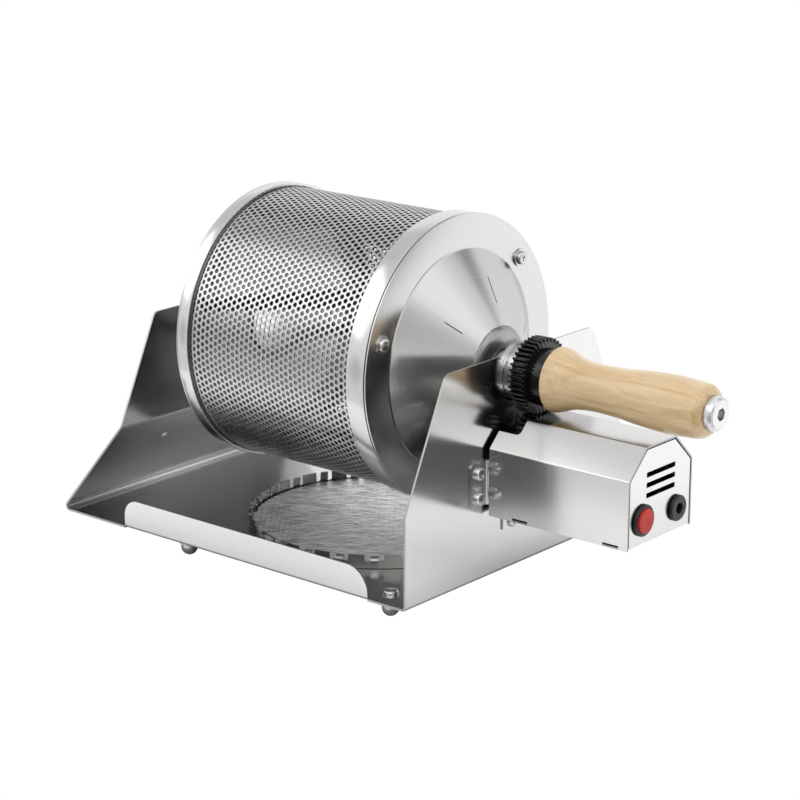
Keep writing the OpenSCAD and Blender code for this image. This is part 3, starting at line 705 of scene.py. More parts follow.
def punched_cell():
    """One hexagonal cell with its round hole, lying flat."""
    flat = circle_points(0, 0, HOLE_R, 12, pi / 2)
    flat += circle_points(0, 0, CIRCLE * MESH_R / HOLES_ROUND / sqrt(3), 6)
    faces = []
    for k in range(6):
        # Hole point 9 + 2k lies at the same angle as hexagon corner k.
        near, far = (9 + 2 * k) % 12, 12 + (k + 1) % 6
        mid, last = (near + 1) % 12, (near + 2) % 12
        faces += [(12 + k, mid, near), (12 + k, far, mid), (far, last, mid)]
    return Shape([Vector((x * MM, y * MM, 0)) for x, y in flat], faces, flat)


PUNCHED = perforation_tree()
for name, first, columns, nodes in (("drum_mesh_left", 0, 18, ["drum_shell"]), ("drum_mesh_right", 18, 17, [])):
    skin = build(name, punched_cell())
    run_group(skin, PUNCHED, {
        "Holes round": HOLES_ROUND, "Columns": columns, "Column step": COLUMN_STEP * MM,
        "First column": PLATE_FACE + (-169.4 + first * COLUMN_STEP) * MM, "First row shift": 0.25,
        "Radius": MESH_R * MM, "Centre height": BASE_FLOOR + AXIS * MM, "Material": MESH_STEEL,
    })
    tool = skin.modifiers.new("sheet", "SOLIDIFY")
    tool.thickness = MESH_SHEET * MM
    tool.offset = 1.0
    tool.use_even_offset = False
    settle(skin)
    clean(skin.data, 35, close=True)
    dress(skin, MESH_STEEL, "drum", "perforated_steel", *nodes)


def segment_tree():
    """Turns one segment round a centre as many times as asked, and welds the joints."""
    net, segment, count, total, first, weld, centre, paint = group_with(
        "ring_of_segments", Int=["Count", "Full circle"], Float=["First", "Weld"], Vector=["Centre"],
        Material=["Material"],
    )
    dots = net.add("GeometryNodePoints", {"Count": count, "Position": centre})
    turn = (net.add("GeometryNodeInputIndex") + first) * CIRCLE / total
    real = net.copies(dots, segment, Rotation=net.add("ShaderNodeCombineXYZ", {2: turn}))
    return net.end(net.add("GeometryNodeMergeByDistance", {"Geometry": real, "Distance": weld}), paint)


def ring_segment(lean_degrees, top):
    """One 15 degree stretch of the burner strip: a narrow tab leaning inward between two slots."""
    mid_r = RING_R - 0.5
    edge = radians(7.5) * mid_r
    foot, tab, slot, low, radius = 1.5, 2.25, 5.35, 5.2, 1.6
    right = rounded([
        (edge, foot), (edge, top), (slot, top, 0.5, 3), (slot, low, 0.8, 4), (tab, low, 0.8, 4), (tab, top, 0.5, 3),
        (0, top),
    ])[:-1]
    outline = right + [(-u, v) for u, v in reversed(right)]
    lean = radians(lean_degrees)

    def bend(u, v):
        over = v - low
        inward, height, tilt = 0.0, v, 0.0
        if abs(u) < tab + 0.05 and over > 0:
            tilt = min(over / radius, lean)
            straight = max(0.0, over - radius * lean)
            inward = radius * (1 - cos(tilt)) + straight * sin(lean)
            height = low + radius * sin(tilt) + straight * cos(lean)
        angle = u / mid_r
        out = Vector((cos(angle), sin(angle), 0))
        point = out * (mid_r - inward) + Vector((0, 0, height))
        return point, out * cos(tilt) + Vector((0, 0, sin(tilt)))

    def at_joint(a, b):
        return abs(abs(a[0]) - edge) < 1e-4 and abs(a[0] - b[0]) < 1e-4

    cuts = [((edge * k / 8, 0), (edge * k / 8, 12)) for k in range(-7, 8)]
    cuts += [((-3, low + radius * lean * k / 3), (3, low + radius * lean * k / 3)) for k in range(4)]
    shape = cut_sheet(outline, [], cuts, bend, 1.0, at_joint)
    origin = at(0, 0, 0)
    shape.verts = [Vector((v.x - origin.x, v.y - origin.y, v.z)) for v in shape.verts]
    return shape


# The tabs on the front half of the strip are pressed further in to hold the gauze.
SEGMENTS = segment_tree()
rings = []
for name, first, count, lean, top in (("burner_strip", 2.5, 14, 8, 10.8), ("burner_strip_front", -7.5, 10, 76, 9.0)):
    part = build(name, ring_segment(lean, top))
    run_group(part, SEGMENTS, {
        "Count": count, "Full circle": 24, "First": first, "Weld": 0.00003, "Material": RING_STEEL,
        "Centre": Vector((PLATE_FACE + RING_X * MM, 0, 0)),
    })
    clean(part.data, 35, close=True)
    rings.append(part)
dress(rings[1], RING_STEEL, "frame", "burner_steel")
dress(rings[0], RING_STEEL, "frame", "burner_steel", "burner_ring")


def gauze_tree():
    """Wire cloth: fine wires lie side by side and wave over and under thicker ones, inside a disc."""
    net, _, fines, thicks, fine_pitch, thick_pitch, reach, fine_r, thick_r, centre, turn, paint = group_with(
        "woven_gauze", Int=["Fine wires", "Thick wires"],
        Float=["Fine pitch", "Thick pitch", "Reach", "Fine radius", "Thick radius"], Vector=["Centre", "Turn"],
        Material=["Material"],
    )
    wide, deep = (thicks - 1.0) * thick_pitch, (fines - 1.0) * fine_pitch
    both = net.add("GeometryNodeJoinGeometry")
    for side, radius in ((1, fine_r), (0, thick_r)):
        counts = {2: (thicks - 1.0) * 2.0 + 1.0, 3: fines} if side else {2: thicks, 3: 60}
        shape = net.add("GeometryNodeMeshGrid", {0: wide, 1: deep, **counts})
        split = net.add("ShaderNodeSeparateXYZ", {0: net.add("GeometryNodeInputPosition")})
        if side:
            spans = enumerate(((wide, thick_pitch), (deep, fine_pitch)))
            waves = [((split[k] + span * 0.5) / pitch * pi).maths("COSINE") for k, (span, pitch) in spans]
            lift = net.add("ShaderNodeCombineXYZ", {2: waves[0] * waves[1] * (thick_r * 0.15)})
            shape = net.add("GeometryNodeSetPosition", {"Geometry": shape, "Offset": lift})
        ends = net.add("GeometryNodeInputMeshEdgeVertices")
        start, end = (net.add("ShaderNodeSeparateXYZ", {0: ends[k]})[side] for k in (2, 3))
        links = {"Geometry": shape, "Selection": (start - end).maths("ABSOLUTE").maths("GREATER_THAN", 0.00001)}
        lines = net.add("GeometryNodeDeleteGeometry", links, domain="EDGE", mode="EDGE_FACE")
        flat = net.add("ShaderNodeCombineXYZ", {0: split, 1: split[1]})
        far = net.add("ShaderNodeVectorMath", {0: flat}, operation="LENGTH")["Value"].maths("GREATER_THAN", reach)
        disc = net.add("GeometryNodeDeleteGeometry", {"Geometry": lines, "Selection": far}, domain="POINT")
        profile = net.add("GeometryNodeCurvePrimitiveCircle", {"Resolution": 4, "Radius": radius})
        for move in ({"Rotation": (0, 0, pi / 4)}, {"Scale": (1, 0.6, 1)}):
            profile = net.add("GeometryNodeTransform", {"Geometry": profile, **move})
        curve = net.add("GeometryNodeMeshToCurve", {"Mesh": disc})
        links = {"Curve": curve, "Profile Curve": profile, "Fill Caps": True}
        net.feed(net.add("GeometryNodeCurveToMesh", links), both.node.inputs[0])
    links = {"Geometry": both, "Rotation": turn, "Translation": centre}
    return net.end(net.add("GeometryNodeTransform", links), paint)


gauze = build("gauze_weave", Shape())
run_group(gauze, gauze_tree(), {
    "Fine wires": 231, "Fine pitch": 0.64 * MM, "Thick wires": 50, "Thick pitch": 3.0 * MM, "Reach": 73.9 * MM,
    "Fine radius": 0.42 * MM, "Thick radius": 0.2 * MM, "Centre": at(RING_X, 0, GAUZE_Z),
    "Turn": Vector((0, 0, radians(GAUZE_TURN))), "Material": GAUZE_STEEL,
})
clean(gauze.data, 80, close=True)
dress(gauze, GAUZE_STEEL, "frame", "gauze", "gauze_pan")


def screw_tree():
    """Sets one screw on every point, turned as the point's own "aim" says."""
    net, places, screw, paint = group_with("screws_at_points", Object=["Screw"], Material=["Material"])
    info = net.add("GeometryNodeObjectInfo", {"Object": screw})
    aim = net.add("GeometryNodeInputNamedAttribute", {"Name": "aim"}, data_type="FLOAT_VECTOR")
    return net.end(net.copies(places, info["Geometry"], Rotation=aim), paint)


SCREWS = screw_tree()


def pan_screw(head_r, head_h, washer_r=0.0, washer_h=0.0):
    """A pan head with a cross recess, looking along +Z from the local origin."""
    dome = [(0, 0), (0, head_r)]
    quarter = [pi / 2 * k / 6 for k in range(7)]
    dome += [(head_h * (0.45 + 0.47 * sin(a)), head_r * (0.62 + 0.38 * cos(a))) for a in quarter]
    dome += [(head_h, 0)]
    profile = [(x + washer_h, r) for x, r in no_repeats(dome)]
    head = build("screw_head", lathe(profile, 48, 0, 0, 0.0), 40)
    arm, width = head_r * 0.62, head_r * 0.15
    corners = [(arm, -width), (arm, width), (width, width), (width, arm), (-width, arm), (-width, width)]
    loop = corners + [(-u, -v) for u, v in corners]
    deep = head_h * 0.5

    def recess(u, v, d):
        wide = 0.5 + 0.5 * d / head_h
        return at(washer_h + head_h - deep + d, u * wide, v * wide)

    carve(head, build("recess", prism(loop, head_h, recess)), 38)
    if washer_r:
        section = [(0, head_r * 0.5), (washer_h, head_r * 0.5), (washer_h, washer_r), (0, washer_r)]
        washer = build("washer", lathe(section, 64, 0, 0, 0.12))
        work = bmesh.new()
        work.from_mesh(head.data)
        work.from_mesh(washer.data)
        work.to_mesh(head.data)
        work.free()
        bpy.data.objects.remove(washer)
        shade(head.data, 38)
    # The lathe turns about X; the tree's screws look along Z.
    head.data.transform(Matrix.Rotation(radians(-90), 4, "Y") @ Matrix.Translation(-at(0, 0, 0)))
    return head


def set_screws(name, screw, places, up):
    """places are (x, y, z, spin in degrees); the screws look along +X, or straight up."""
    obj = build(name, Shape([at(x, y, z) for x, y, z, _ in places]))
    aim = obj.data.attributes.new("aim", "FLOAT_VECTOR", "POINT")
    for item, (*_, spin) in zip(aim.data, places):
        turn = Matrix.Rotation(radians(spin), 3, "X") @ Matrix.Rotation(radians(90), 3, "Y")
        if up:
            turn = Matrix.Rotation(radians(spin), 3, "Z")
        item.vector = turn.to_euler()
    run_group(obj, SCREWS, {"Screw": screw, "Material": SCREW_STEEL})
    bpy.data.objects.remove(screw)
    shade(obj.data, 38)
    return obj


flange_places = []
for turn in (42.4, 162.4, 282.4):
    a = radians(turn)
    flange_places.append((-41.6, 70 * cos(a), AXIS + 70 * sin(a), turn + 20))
cover_places = [(CASE_SHEET, y, z, 15 + 31 * k) for k, (y, z) in enumerate(COVER_BOLTS)]
foot_spots = [(-x, side * FOOT_Y) for x in FOOT_XS for side in (-1, 1)]
foot_places = [(x, y, SHEET, 30 * k) for k, (x, y) in enumerate(foot_spots)]
tray_places = [(CASE_SHEET, CASE_Y + side * TRAY_BOLT_Y, TRAY_BOLT_Z, 20 + 25 * side) for side in (-1, 1)]
for name, head, places, up, body, *nodes in (
    ("drum_screws", (3.8, 2.4, 5.0, 0.8), flange_places, False, "drum", "end_cap_screws", "end_cap_washers"),
    ("housing_screws", (3.5, 2.3), cover_places, False, "frame", "cover_screws"),
    ("base_screws", (4.3, 2.1), foot_places, True, "frame", "foot_screws"),
    ("tray_tab_screws", (2.9, 2.0), tray_places, False, "frame", "tray_screws"),
):
    dress(set_screws(name, pan_screw(*head), places, up), SCREW_STEEL, body, "screw_steel", *nodes)


# -------- frame sheet


def slot_points(top_s, r, sign):
    """Half of an open round-bottomed slot, from its bottom to its eased mouth; sign is +1 or -1 along the path."""
    ease = 3.0
    drop = TOP - AXIS
    bottom = [pi / 2 * k / 12 for k in range(12, -1, -1)]
    mouth = [pi / 2 * k / 6 for k in range(7)]
    points = [(top_s + sign * (drop + r * sin(a)), r * cos(a)) for a in bottom]
    return points + [(top_s + sign * ease * (1 - sin(a)), r + ease * (1 - cos(a))) for a in mouth]


def build_frame_sheet():
    """Base, left panel and right end plate as one sheet, bent in three places."""
    slope = radians(SLOPE)
    turn = radians(90 - SLOPE)
    outer = Vector((sin(slope), -cos(slope)))
    foot_reach = FOOT_BEND + SHEET / 2
    base_end = BAY + SHEET * sin(slope) + (FOLD_H + SHEET * cos(slope)) / tan(slope)
    bend_x = base_end - foot_reach / tan(slope / 2)
    foot = Vector((-bend_x, foot_reach)) - outer * FOOT_BEND
    fold_z = FOLD_H + BEND_REACH * tan(turn / 2)
    fold = Vector((-BAY - BEND_REACH, fold_z)) + outer * BEND
    path = FoldPath((-SHEET / 2, TOP), -90, [
        TOP - BEND_REACH, (BEND, -90), bend_x - BEND_REACH, (FOOT_BEND, -(180 - SLOPE)), (fold - foot).length,
        (BEND, 90 - SLOPE), TOP - fold_z,
    ])
    total = path.length
    half_right = HALF - TAPER * (TOP - KNEE)
    half_left = HALF - TAPER * (TOP - FOLD_H)
    base_s = path.starts[2] - BEND_REACH
    near, far, lip_line = base_s + LIP_NEAR, base_s + LIP_FAR, HALF - BEND_REACH
    half = slot_points(0, SLOT_R, 1) + rounded([
        (0, 0), (0, half_right, 6.0, 10), (TOP - KNEE, HALF, 2.5, 4), (near, HALF), (near, lip_line), (far, lip_line),
        (far, HALF), (path.starts[5] + 0.6, HALF, 2.5, 4), (total, half_left, 5.0, 8), (total, 0),
    ])[1:-1] + slot_points(total, MOUTH_SLOT_R, -1)[::-1]
    outline = no_repeats(half + [(s, -v) for s, v in reversed(half)])
    holes = [circle_points(base_s - RING_X, 0, BURNER_HOLE_R, 120)]
    holes += [circle_points(base_s + x, y, 2.6, 24) for x in FOOT_XS for y in (FOOT_Y, -FOOT_Y)]
    slope_s = path.starts[4] + (SLOPE_HOLE_Z + SHEET - foot.y - 1.3) / sin(slope)
    holes += [circle_points(slope_s, y, 2.0, 28) for y in (SLOPE_HOLE_Y, -SLOPE_HOLE_Y)]
    holes += [circle_points(TOP - z, y, 2.0, 20) for y, z in COVER_BOLTS]
    holes += [circle_points(TOP - TRAY_BOLT_Z, CASE_Y + side * TRAY_BOLT_Y, 1.5, 20) for side in (-1, 1)]
    return folded(path, outline, holes, SHEET, lambda x, z, y: Vector((x, y, z)))


def build_lip(side):
    """One upturned lip with its bend."""
    path = FoldPath((0, 0), 0, [(BEND, 90), LIP_H - BEND_REACH])
    high = path.length
    outline = rounded([(0, -LIP_FAR), (high, -LIP_FAR, 10.0, 12), (high, -LIP_NEAR, 14.5, 16), (0, -LIP_NEAR)])
    start = HALF - BEND_REACH
    return folded(path, outline, [], SHEET, lambda out, z, x: Vector((x, side * (start + out), SHEET / 2 + z)))


frame_sheet = build("frame_sheet", build_frame_sheet(), 28)
dress(frame_sheet, SHEET_STEEL, "frame", "stainless_sheet", "base_sheet", "right_plate", "left_panel", cut=CUT_EDGE_AND_SHADE)
lips = build("base_lips", Shape().add(build_lip(-1), build_lip(1)), 28)
dress(lips, SHEET_STEEL, "frame", "stainless_sheet", cut=CUT_EDGE_AND_SHADE)


# -------- drum


def annulus(x0, x1, r_in, r_out):
    return [(x0, r_in), (x1, r_in), (x1, r_out), (x0, r_out)]


plain_rings = (
    annulus(-180.0, -172.9, 76.6, 77.4), annulus(-173.4, -170.6, 75.0, 75.8), annulus(-171.2, -170.2, 75.4, 77.38),
    annulus(-57.2, -43.8, 76.6, 77.35),
)
seams = build("drum_plain_ends", Shape().add(*(lathe(ring, 256, edge=0.1) for ring in plain_rings)))
dress(seams, MESH_STEEL, "drum", "perforated_steel")
left_rim = [(-180.0, 77.5), (-173.4, 77.5), (-173.0, 77.7), (-173.0, 79.3), (-180.0, 79.5)]
turned("drum_left_band", left_rim, 256, 0.25, BAND_STEEL, "drum", "stainless_band", "left_band")
left_cap = FoldPath((-181.1 + 0.55, 79.5), -90, [2.2, 79.5 - 2.2 - 20.0])
turned("drum_left_cap", left_cap.section(1.1), 256, 0.4, CAP_STEEL, "drum", "stainless_band", "left_end_cap")
mouth = FoldPath((-178.5, 19.4), 180, [40.6, (1.6, -84), 1.6])
turned("drum_mouth", mouth.section(1.2), 160, 0.2, CAP_STEEL, "drum", "stainless_band", "journal_tube")
right_rim = [
    (-55.9, 77.6), (-55.6, 79.7), (-43.4, 79.9), (-43.4, 78.4), (-42.8, 78.4), (-42.8, 64.2), (-43.8, 64.2),
    (-43.8, 77.6),
]
turned("drum_right_band", right_rim, 256, 0.25, BAND_STEEL, "drum", "stainless_band", "right_band")
# A near-black ring as painted shade in the gap between the right band and the cone's flange.
turned("drum_band_seam", annulus(-43.5, -42.7, 78.0, 79.1), 256, 0.1, VANE_SHADE_STEEL, "drum", "stainless_band")

# The cone drops from radius 60.8 to 22 over 26 mm, after a bend of radius 3.2.
cone_angle = degrees(atan2(22 - 60.8, 40.5 - 14.5))
cone_length = hypot(26.0, 38.8) - 0.7
cap_path = FoldPath((-42.15, 80.0), -90, [80.0 - 60.8 - 1.25, (3.2, 90 + cone_angle), cone_length])
right_cap = build("drum_right_cap", lathe(cap_path.section(1.0), 288, edge=0.3), 30)
# The slits in the cone: angle, inner and outer radius.
SLITS = ((17, 33.3, 46.6), (77, 33.3, 46.6), (137, 32, 41.6), (197, 33.3, 46.6), (257, 33.3, 46.6), (317, 32, 41.6))
SLIT_HALF = 0.34
cutters = Shape()
for turn, r0, r1 in SLITS:
    a = radians(turn)
    out = heading(a)
    loop = [(r0, -SLIT_HALF), (r1, -SLIT_HALF), (r1, SLIT_HALF), (r0, SLIT_HALF)]
    cutters.add(prism(loop, 30, lambda u, v, d, o=out, s=left_of(a): at(-44 + d, *(o * u + s * v + Vector((0, AXIS))))))
carve(right_cap, build("slits", cutters), 30)
dress(right_cap, CAP_STEEL, "drum", "stainless_band", "right_end_cap")

# The plates inside the drum keep their CAD form; their tabs are dressed down to just under the cone.
vanes = in_scene("mixing_plates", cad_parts["mixing_vanes"].data.copy())
clean(vanes.data, 25, merge=0.000001, close=True)
over_cone = [(-41.5, 60.3), (-15.9, 22.0), (-8, 22.0), (-8, 62), (-41.5, 62)]
carve(vanes, build("over_cone", lathe(over_cone, 128, edge=0)), 25)
# The plates are near-black as painted shade for the drum's inside.
dress(vanes, VANE_SHADE_STEEL, "drum", "stainless_sheet", "mixing_vanes")

neck = [
    (-15.9, 20.6), (-15.55, 22.15), (-15.1, 22.05), (-14.1, 20.7), (-12.9, 17.5), (-12.3, 13.5), (-12.1, 10.8),
    (-13.1, 10.6), (-14.0, 14.5), (-14.8, 18.5),
]
# The neck cap takes the darker burner strip steel as painted shade: the shade and dark reflection it gets close to the
# end plate.
turned("drum_neck_cap", neck, 160, 0.3, RING_STEEL, "drum", "stainless_band", "neck_cap", sharp_angle=40)
axle = [(-19.3, 0), (-19.3, 19), (-15.7, 19), (-15.7, 10.2), (5.5, 10.2), (5.5, 8), (24.4, 8), (24.4, 0)]
turned("drum_axle_turned", axle, 96, 0.2, TURNED_STEEL, "drum", "axle_steel", "drum_axle")


# -------- gears, collar, handle

PRESSURE = radians(20)
BACKLASH = 0.14
GEAR_X, GEAR_WIDTH = 6.5, 9.0
PINION_Z = 74.4


def gear_loop(teeth, turn):
    """The outline of an involute gear of module 1."""
    base = teeth * cos(PRESSURE) / 2
    tip, root = teeth / 2 + 1 - 0.08, teeth / 2 - 1.25

    def half(r):
        press = acos(min(1.0, base / r))
        spread = tan(press) - press
        zero = tan(PRESSURE) - PRESSURE
        return radians(90 / teeth - BACKLASH) + zero - spread

    loop = []
    for k in range(teeth):
        mid = CIRCLE * k / teeth + radians(turn)
        flank = [base + (tip - base) * j / 5 for j in range(6)]
        points = [(root, -half(base) - 0.012), (root, -half(base) - 0.004)] + [(r, -half(r)) for r in flank]
        points += [(r, -a) for r, a in reversed(points)]
        loop += [(r * cos(mid + a), r * sin(mid + a)) for r, a in points]
    return loop


def gear_piece(name, teeth, z, turn, body, node):
    loop = gear_loop(teeth, turn)
    gear = build(name, prism(loop, GEAR_WIDTH, lambda u, v, d: at(GEAR_X + d, u, z + v)), 40)
    edge = gear.modifiers.new("edge", "BEVEL")
    edge.width = 0.18 * MM
    edge.segments = 2
    edge.limit_method = "ANGLE"
    edge.angle_limit = radians(60)
    settle(gear, sharp_angle=40)
    dress(gear, GEAR_BLACK, body, "gear_black", node)


gear_piece("gear_rim", 40, AXIS, 0.0, "drum", "drum_gear")
hub = [(5.5, 8.1), (5.5, 12), (6.6, 12), (6.6, 14.5), (15.3, 14.5), (15.3, 15.8), (24.3, 15.8), (24.3, 8.1)]
turned("gear_hub", hub, 160, 0.6, GEAR_BLACK, "drum", "gear_black", arc_points=4)
gear_piece("motor_pinion", 30, PINION_Z, 6.0, "pinion", "pinion")
collar = [
    (-4.0, 10.3), (-4.0, 16.7), (-1.55, 16.7), (-1.55, 16.0), (0.35, 16.0), (0.35, 16.7), (5.0, 16.7), (5.0, 10.3),
]
turned("bearing_collar_turned", collar, 192, 0.35, TURNED_STEEL, "lift", "collar_steel", "bearing_collar", arc_points=4)


def smooth_curve(points, steps=8):
    """A curve through every point, for a turned outline."""
    out = []
    for i in range(len(points) - 1):
        p = [Vector(points[max(0, min(len(points) - 1, i + k))]) for k in (-1, 0, 1, 2)]
        for k in range(steps):
            t = k / steps
            v = 2 * p[1] + (p[2] - p[0]) * t + (2 * p[0] - 5 * p[1] + 4 * p[2] - p[3]) * t * t
            v += (3 * p[1] - p[0] - 3 * p[2] + p[3]) * t ** 3
            out.append(tuple(v / 2))
    return out + [tuple(points[-1])]


GRIP_START, GRIP_END, GRIP_BORE = 24.55, 121.3, 4.4
grip = smooth_curve([
    (GRIP_START, 17.3), (25.4, 17.75), (30, 16.6), (38.5, 13.85), (50, 12.7), (66, 13.2), (80, 14.6), (95, 15.4),
    (108, 15.1), (116.5, 14.4), (119.3, 13.0), (120.9, 11.3), (GRIP_END, 9.9),
])
grip = [(GRIP_START, GRIP_BORE)] + grip + [(GRIP_END, GRIP_BORE)]
turned("turned_grip", grip, 160, 0, WOOD, "drum", "wood", "handle", sharp_angle=40)
end_nut = [
    (108.0, 4.1), (108.0, 6.1), (121.35, 6.1), (121.35, 9.4), (123.9, 9.4), (125.6, 8.75), (126.45, 7.5), (126.45, 0),
    (109, 0),
]
nut = build("grip_end_nut", lathe(end_nut, 128, edge=0.3, arc_points=4), 40)
hexagon = circle_points(0, 0, 6.2 / sqrt(3), 6, radians(12))
carve(nut, build("hex_socket", prism(hexagon, 8, lambda u, v, d: at(122.2 + d, u, AXIS + v))), 38)
dress(nut, NUT_ALUMINIUM, "drum", "aluminium_nut", "handle_end_nut")


# -------- motor housing

ROOF_TURN = degrees(atan2(ROOF - SHOULDER, CASE_HALF - ROOF_HALF))
SWITCH = (-17.2, 50.1)
JACK = (13.7, 49)
# The cover's tabs, the tray's tab, and the vents: their tops, height and ends.
EAR_LOW, EAR_HIGH = 42.6, 67.4
TAB_LOW, TAB_HALF = 24, 14.5
TRAY_BEND = 1.2
VENTS, VENT_H = (75.0, 69.4, 63.8), 2.8
VENT_RIGHT, VENT_LEFT = 13.3, -12.7


def mirrored(points, total):
    """The line seen from the other end of a sheet of this length."""
    return [(total - s, x) for s, x in reversed(points)]


def build_cover():
    """The housing's cover: side, shoulder, roof, shoulder, side, with its notches."""
    radius = 1.3
    t1 = radius * tan(radians(90 - ROOF_TURN) / 2)
    t2 = radius * tan(radians(ROOF_TURN) / 2)
    w, rh, z1, z2 = CASE_HALF - 0.5, ROOF_HALF - 0.2, SHOULDER - 0.2, ROOF - 0.5
    slant = hypot(w - rh, z2 - z1) - t1 - t2
    side_len = z1 - CASE_Z - t1
    shoulder, eave = (radius, -(90 - ROOF_TURN)), (radius, -ROOF_TURN)
    path = FoldPath((-w, CASE_Z), 90, [side_len, shoulder, slant, eave, 2 * (rh - t2), eave, slant, shoulder, side_len])
    total = path.length
    roof_s = side_len + radians(90 - ROOF_TURN) * radius + (81 - z1) / sin(radians(ROOF_TURN))
    front, back, notch = CASE_X - 0.35, 2.4, 16
    half = rounded([(0, back), (roof_s, back), (roof_s, notch, 2.5, 5), (total / 2, notch)])
    bottom = [(0, front), (0, 86.6), (2, 86.6), (2, 76.6), (0, 76.6), (0, 28), (2, 28), (2, 18), (0, 18)]
    loop = no_repeats([(0, 18)] + half + mirrored(half[:-1], total) + mirrored(bottom, total) + bottom)
    return folded(path, loop, [], CASE_SHEET, lambda y, z, x: Vector((x, CASE_Y + y, z)))


def build_ear(side):
    """One cover tab, bent outward against the end plate."""
    path = FoldPath((2.4, CASE_HALF - 0.5), 180, [(1.9, -90), 12.3])
    reach = path.length
    outline = rounded([(0, EAR_LOW), (reach, EAR_LOW, 3, 6), (reach, EAR_HIGH, 3, 6), (0, EAR_HIGH)])
    holes = [circle_points(reach - 7.1, height, 2.0, 24) for height in COVER_BOLT_ZS]
    return folded(path, outline, holes, CASE_SHEET, lambda x, y, z: Vector((x, CASE_Y + side * y, z)))


def build_tray():
    """The housing's tray: tab on the end plate, floor, and the end face with its openings."""
    reach = TRAY_BEND + CASE_SHEET / 2
    path = FoldPath((CASE_SHEET / 2, TAB_LOW), 90, [
        CASE_Z - TAB_LOW - (TRAY_BEND - CASE_SHEET / 2), (TRAY_BEND, -90), CASE_X - 0.5 - reach - reach,
        (TRAY_BEND, 90), ROOF - 1.4 - CASE_Z - reach,
    ])
    top, inner = path.length - 0.35, CASE_HALF - 1.75
    stops = path.starts
    floor_s = stops[2] - reach
    end_s = stops[4] - (CASE_Z + reach)
    half = [(0, TAB_HALF), (stops[1] - 0.6, TAB_HALF), (stops[2] + 1.5, TAB_HALF), (stops[2] + 1.5, inner)]
    for s in (floor_s + 18.2, floor_s + 76.8):
        half += [(s, inner), (s, CASE_HALF), (s + 9.6, CASE_HALF), (s + 9.6, inner)]
    half += [(stops[3] - 0.4, inner), (end_s + SHOULDER - 0.55, inner), (top, ROOF_HALF - 0.85)]
    outline = no_repeats([(0, 0)] + half + [(top, 0)] + [(s, -v) for s, v in reversed(half)])
    holes = [circle_points(3, y, 1.5, 20) for y in (-TRAY_BOLT_Y, TRAY_BOLT_Y)]
    for (y, z), radius, steps in ((SWITCH, 7.7, 48), (JACK, 5.1, 40)):
        holes.append(circle_points(end_s + z, y - CASE_Y, radius, steps))
    for vent in VENTS:
        high, low = end_s + vent, end_s + vent - VENT_H
        corners = [(high, VENT_RIGHT), (high, VENT_LEFT), (low, VENT_LEFT), (low, VENT_RIGHT)]
        holes.append(no_repeats(rounded([corners[-1], *(c + (0.5, 3) for c in corners), corners[0]])[1:-1]))
    return folded(path, outline, holes, CASE_SHEET, lambda x, z, y: Vector((x, CASE_Y + y, z)))


def on_face(*points):
    """A turned section whose x counts from the housing's end face."""
    return [(CASE_X + x, r) for x, r in points]


dimples = Shape()
origin = at(0, 0, 0)
for side in (-1, 1):
    for height in (51.2, 66.0):
        dome = lathe([(0, 0), (0, 3.1), (0.03, 2.8), (0.13, 2.1), (0.19, 1.1), (0.2, 0)], 40, 0, 0, 0)
        place = at(8, CASE_Y + side * (CASE_HALF - 0.02), height)
        dome.verts = [place + Vector((v.y - origin.y, side * (v.x - origin.x), v.z - origin.z)) for v in dome.verts]
        dimples.add(dome)
cover = build("housing_cover", Shape().add(build_cover(), build_ear(-1), build_ear(1), dimples), 28)
dress(cover, CASE_STEEL, "frame", "stainless_sheet", "case_cover", cut=CUT_EDGE_AND_SHADE)
tray = build("housing_tray", build_tray(), 28)
dress(tray, CASE_STEEL, "frame", "stainless_sheet", "case_tray", cut=CUT_EDGE_AND_SHADE)

bezel = on_face((-12, 7.6), (0, 7.6), (0, 8.6), (0.8, 8.6), (1.5, 7.9), (1.5, 6.75), (-5, 6.75), (-5, 3), (-12, 3))
turned("switch_bezel", bezel, 96, 0.25, BLACK_PLASTIC, "frame", "black_plastic", "switch_body", spot=SWITCH)
cap = on_face((-5.5, 0), (-5.5, 2.8), (-2.6, 2.8), (-2.6, 6.6), (2.0, 6.6), (2.45, 6.1), (2.42, 3.0), (2.38, 0))
turned("switch_button", cap, 96, 0.2, RED_PLASTIC, "switch", "red_plastic", "switch_cap", spot=SWITCH, sharp_angle=40)
socket = on_face((-11, 5), (0, 5), (0, 7.1), (1.1, 7.1), (1.7, 6.5), (1.7, 2.9), (-8, 2.9), (-8, 0), (-11, 0))
pin = on_face((-8.5, 0), (-8.5, 1.0), (-1.4, 1.0), (-0.9, 0.5), (-0.9, 0))
jack = build("power_jack", Shape().add(lathe(socket, 96, *JACK, 0.25), lathe(pin, 48, *JACK, 0.1)))
dress(jack, BLACK_PLASTIC, "frame", "black_plastic", "jack_body")


# -------- materials of the CAD nodes

NODE_FINISH = (
    (FOOT_STEEL, "feet"),
    (SCREW_STEEL, "foot_screws end_cap_nuts cover_nuts bracket_screws jack_nut end_cap_washers end_cap_screws"),
    (SCREW_STEEL, "cover_screws tray_screws"),
    (VANE_SHADE_STEEL, "mixing_vanes"),
    (TURNED_STEEL, "handle_stud motor_shaft drum_axle bearing_collar"),
    (INNER_STEEL, "motor_bracket gauze_pan base_sheet right_plate left_panel case_cover case_tray"),
    (MOTOR_STEEL, "gearbox motor_can"),
    (BLACK_PLASTIC, "switch_nut switch_body jack_body"),
    (RING_STEEL, "burner_ring"),
    (MESH_STEEL, "drum_shell"),
    (BAND_STEEL, "left_band right_band"),
    (CAP_STEEL, "left_end_cap journal_tube right_end_cap neck_cap"),
    (GEAR_BLACK, "drum_gear pinion"),
    (WOOD, "handle"),
    (NUT_ALUMINIUM, "handle_end_nut"),
    (RED_PLASTIC, "switch_cap"),
)
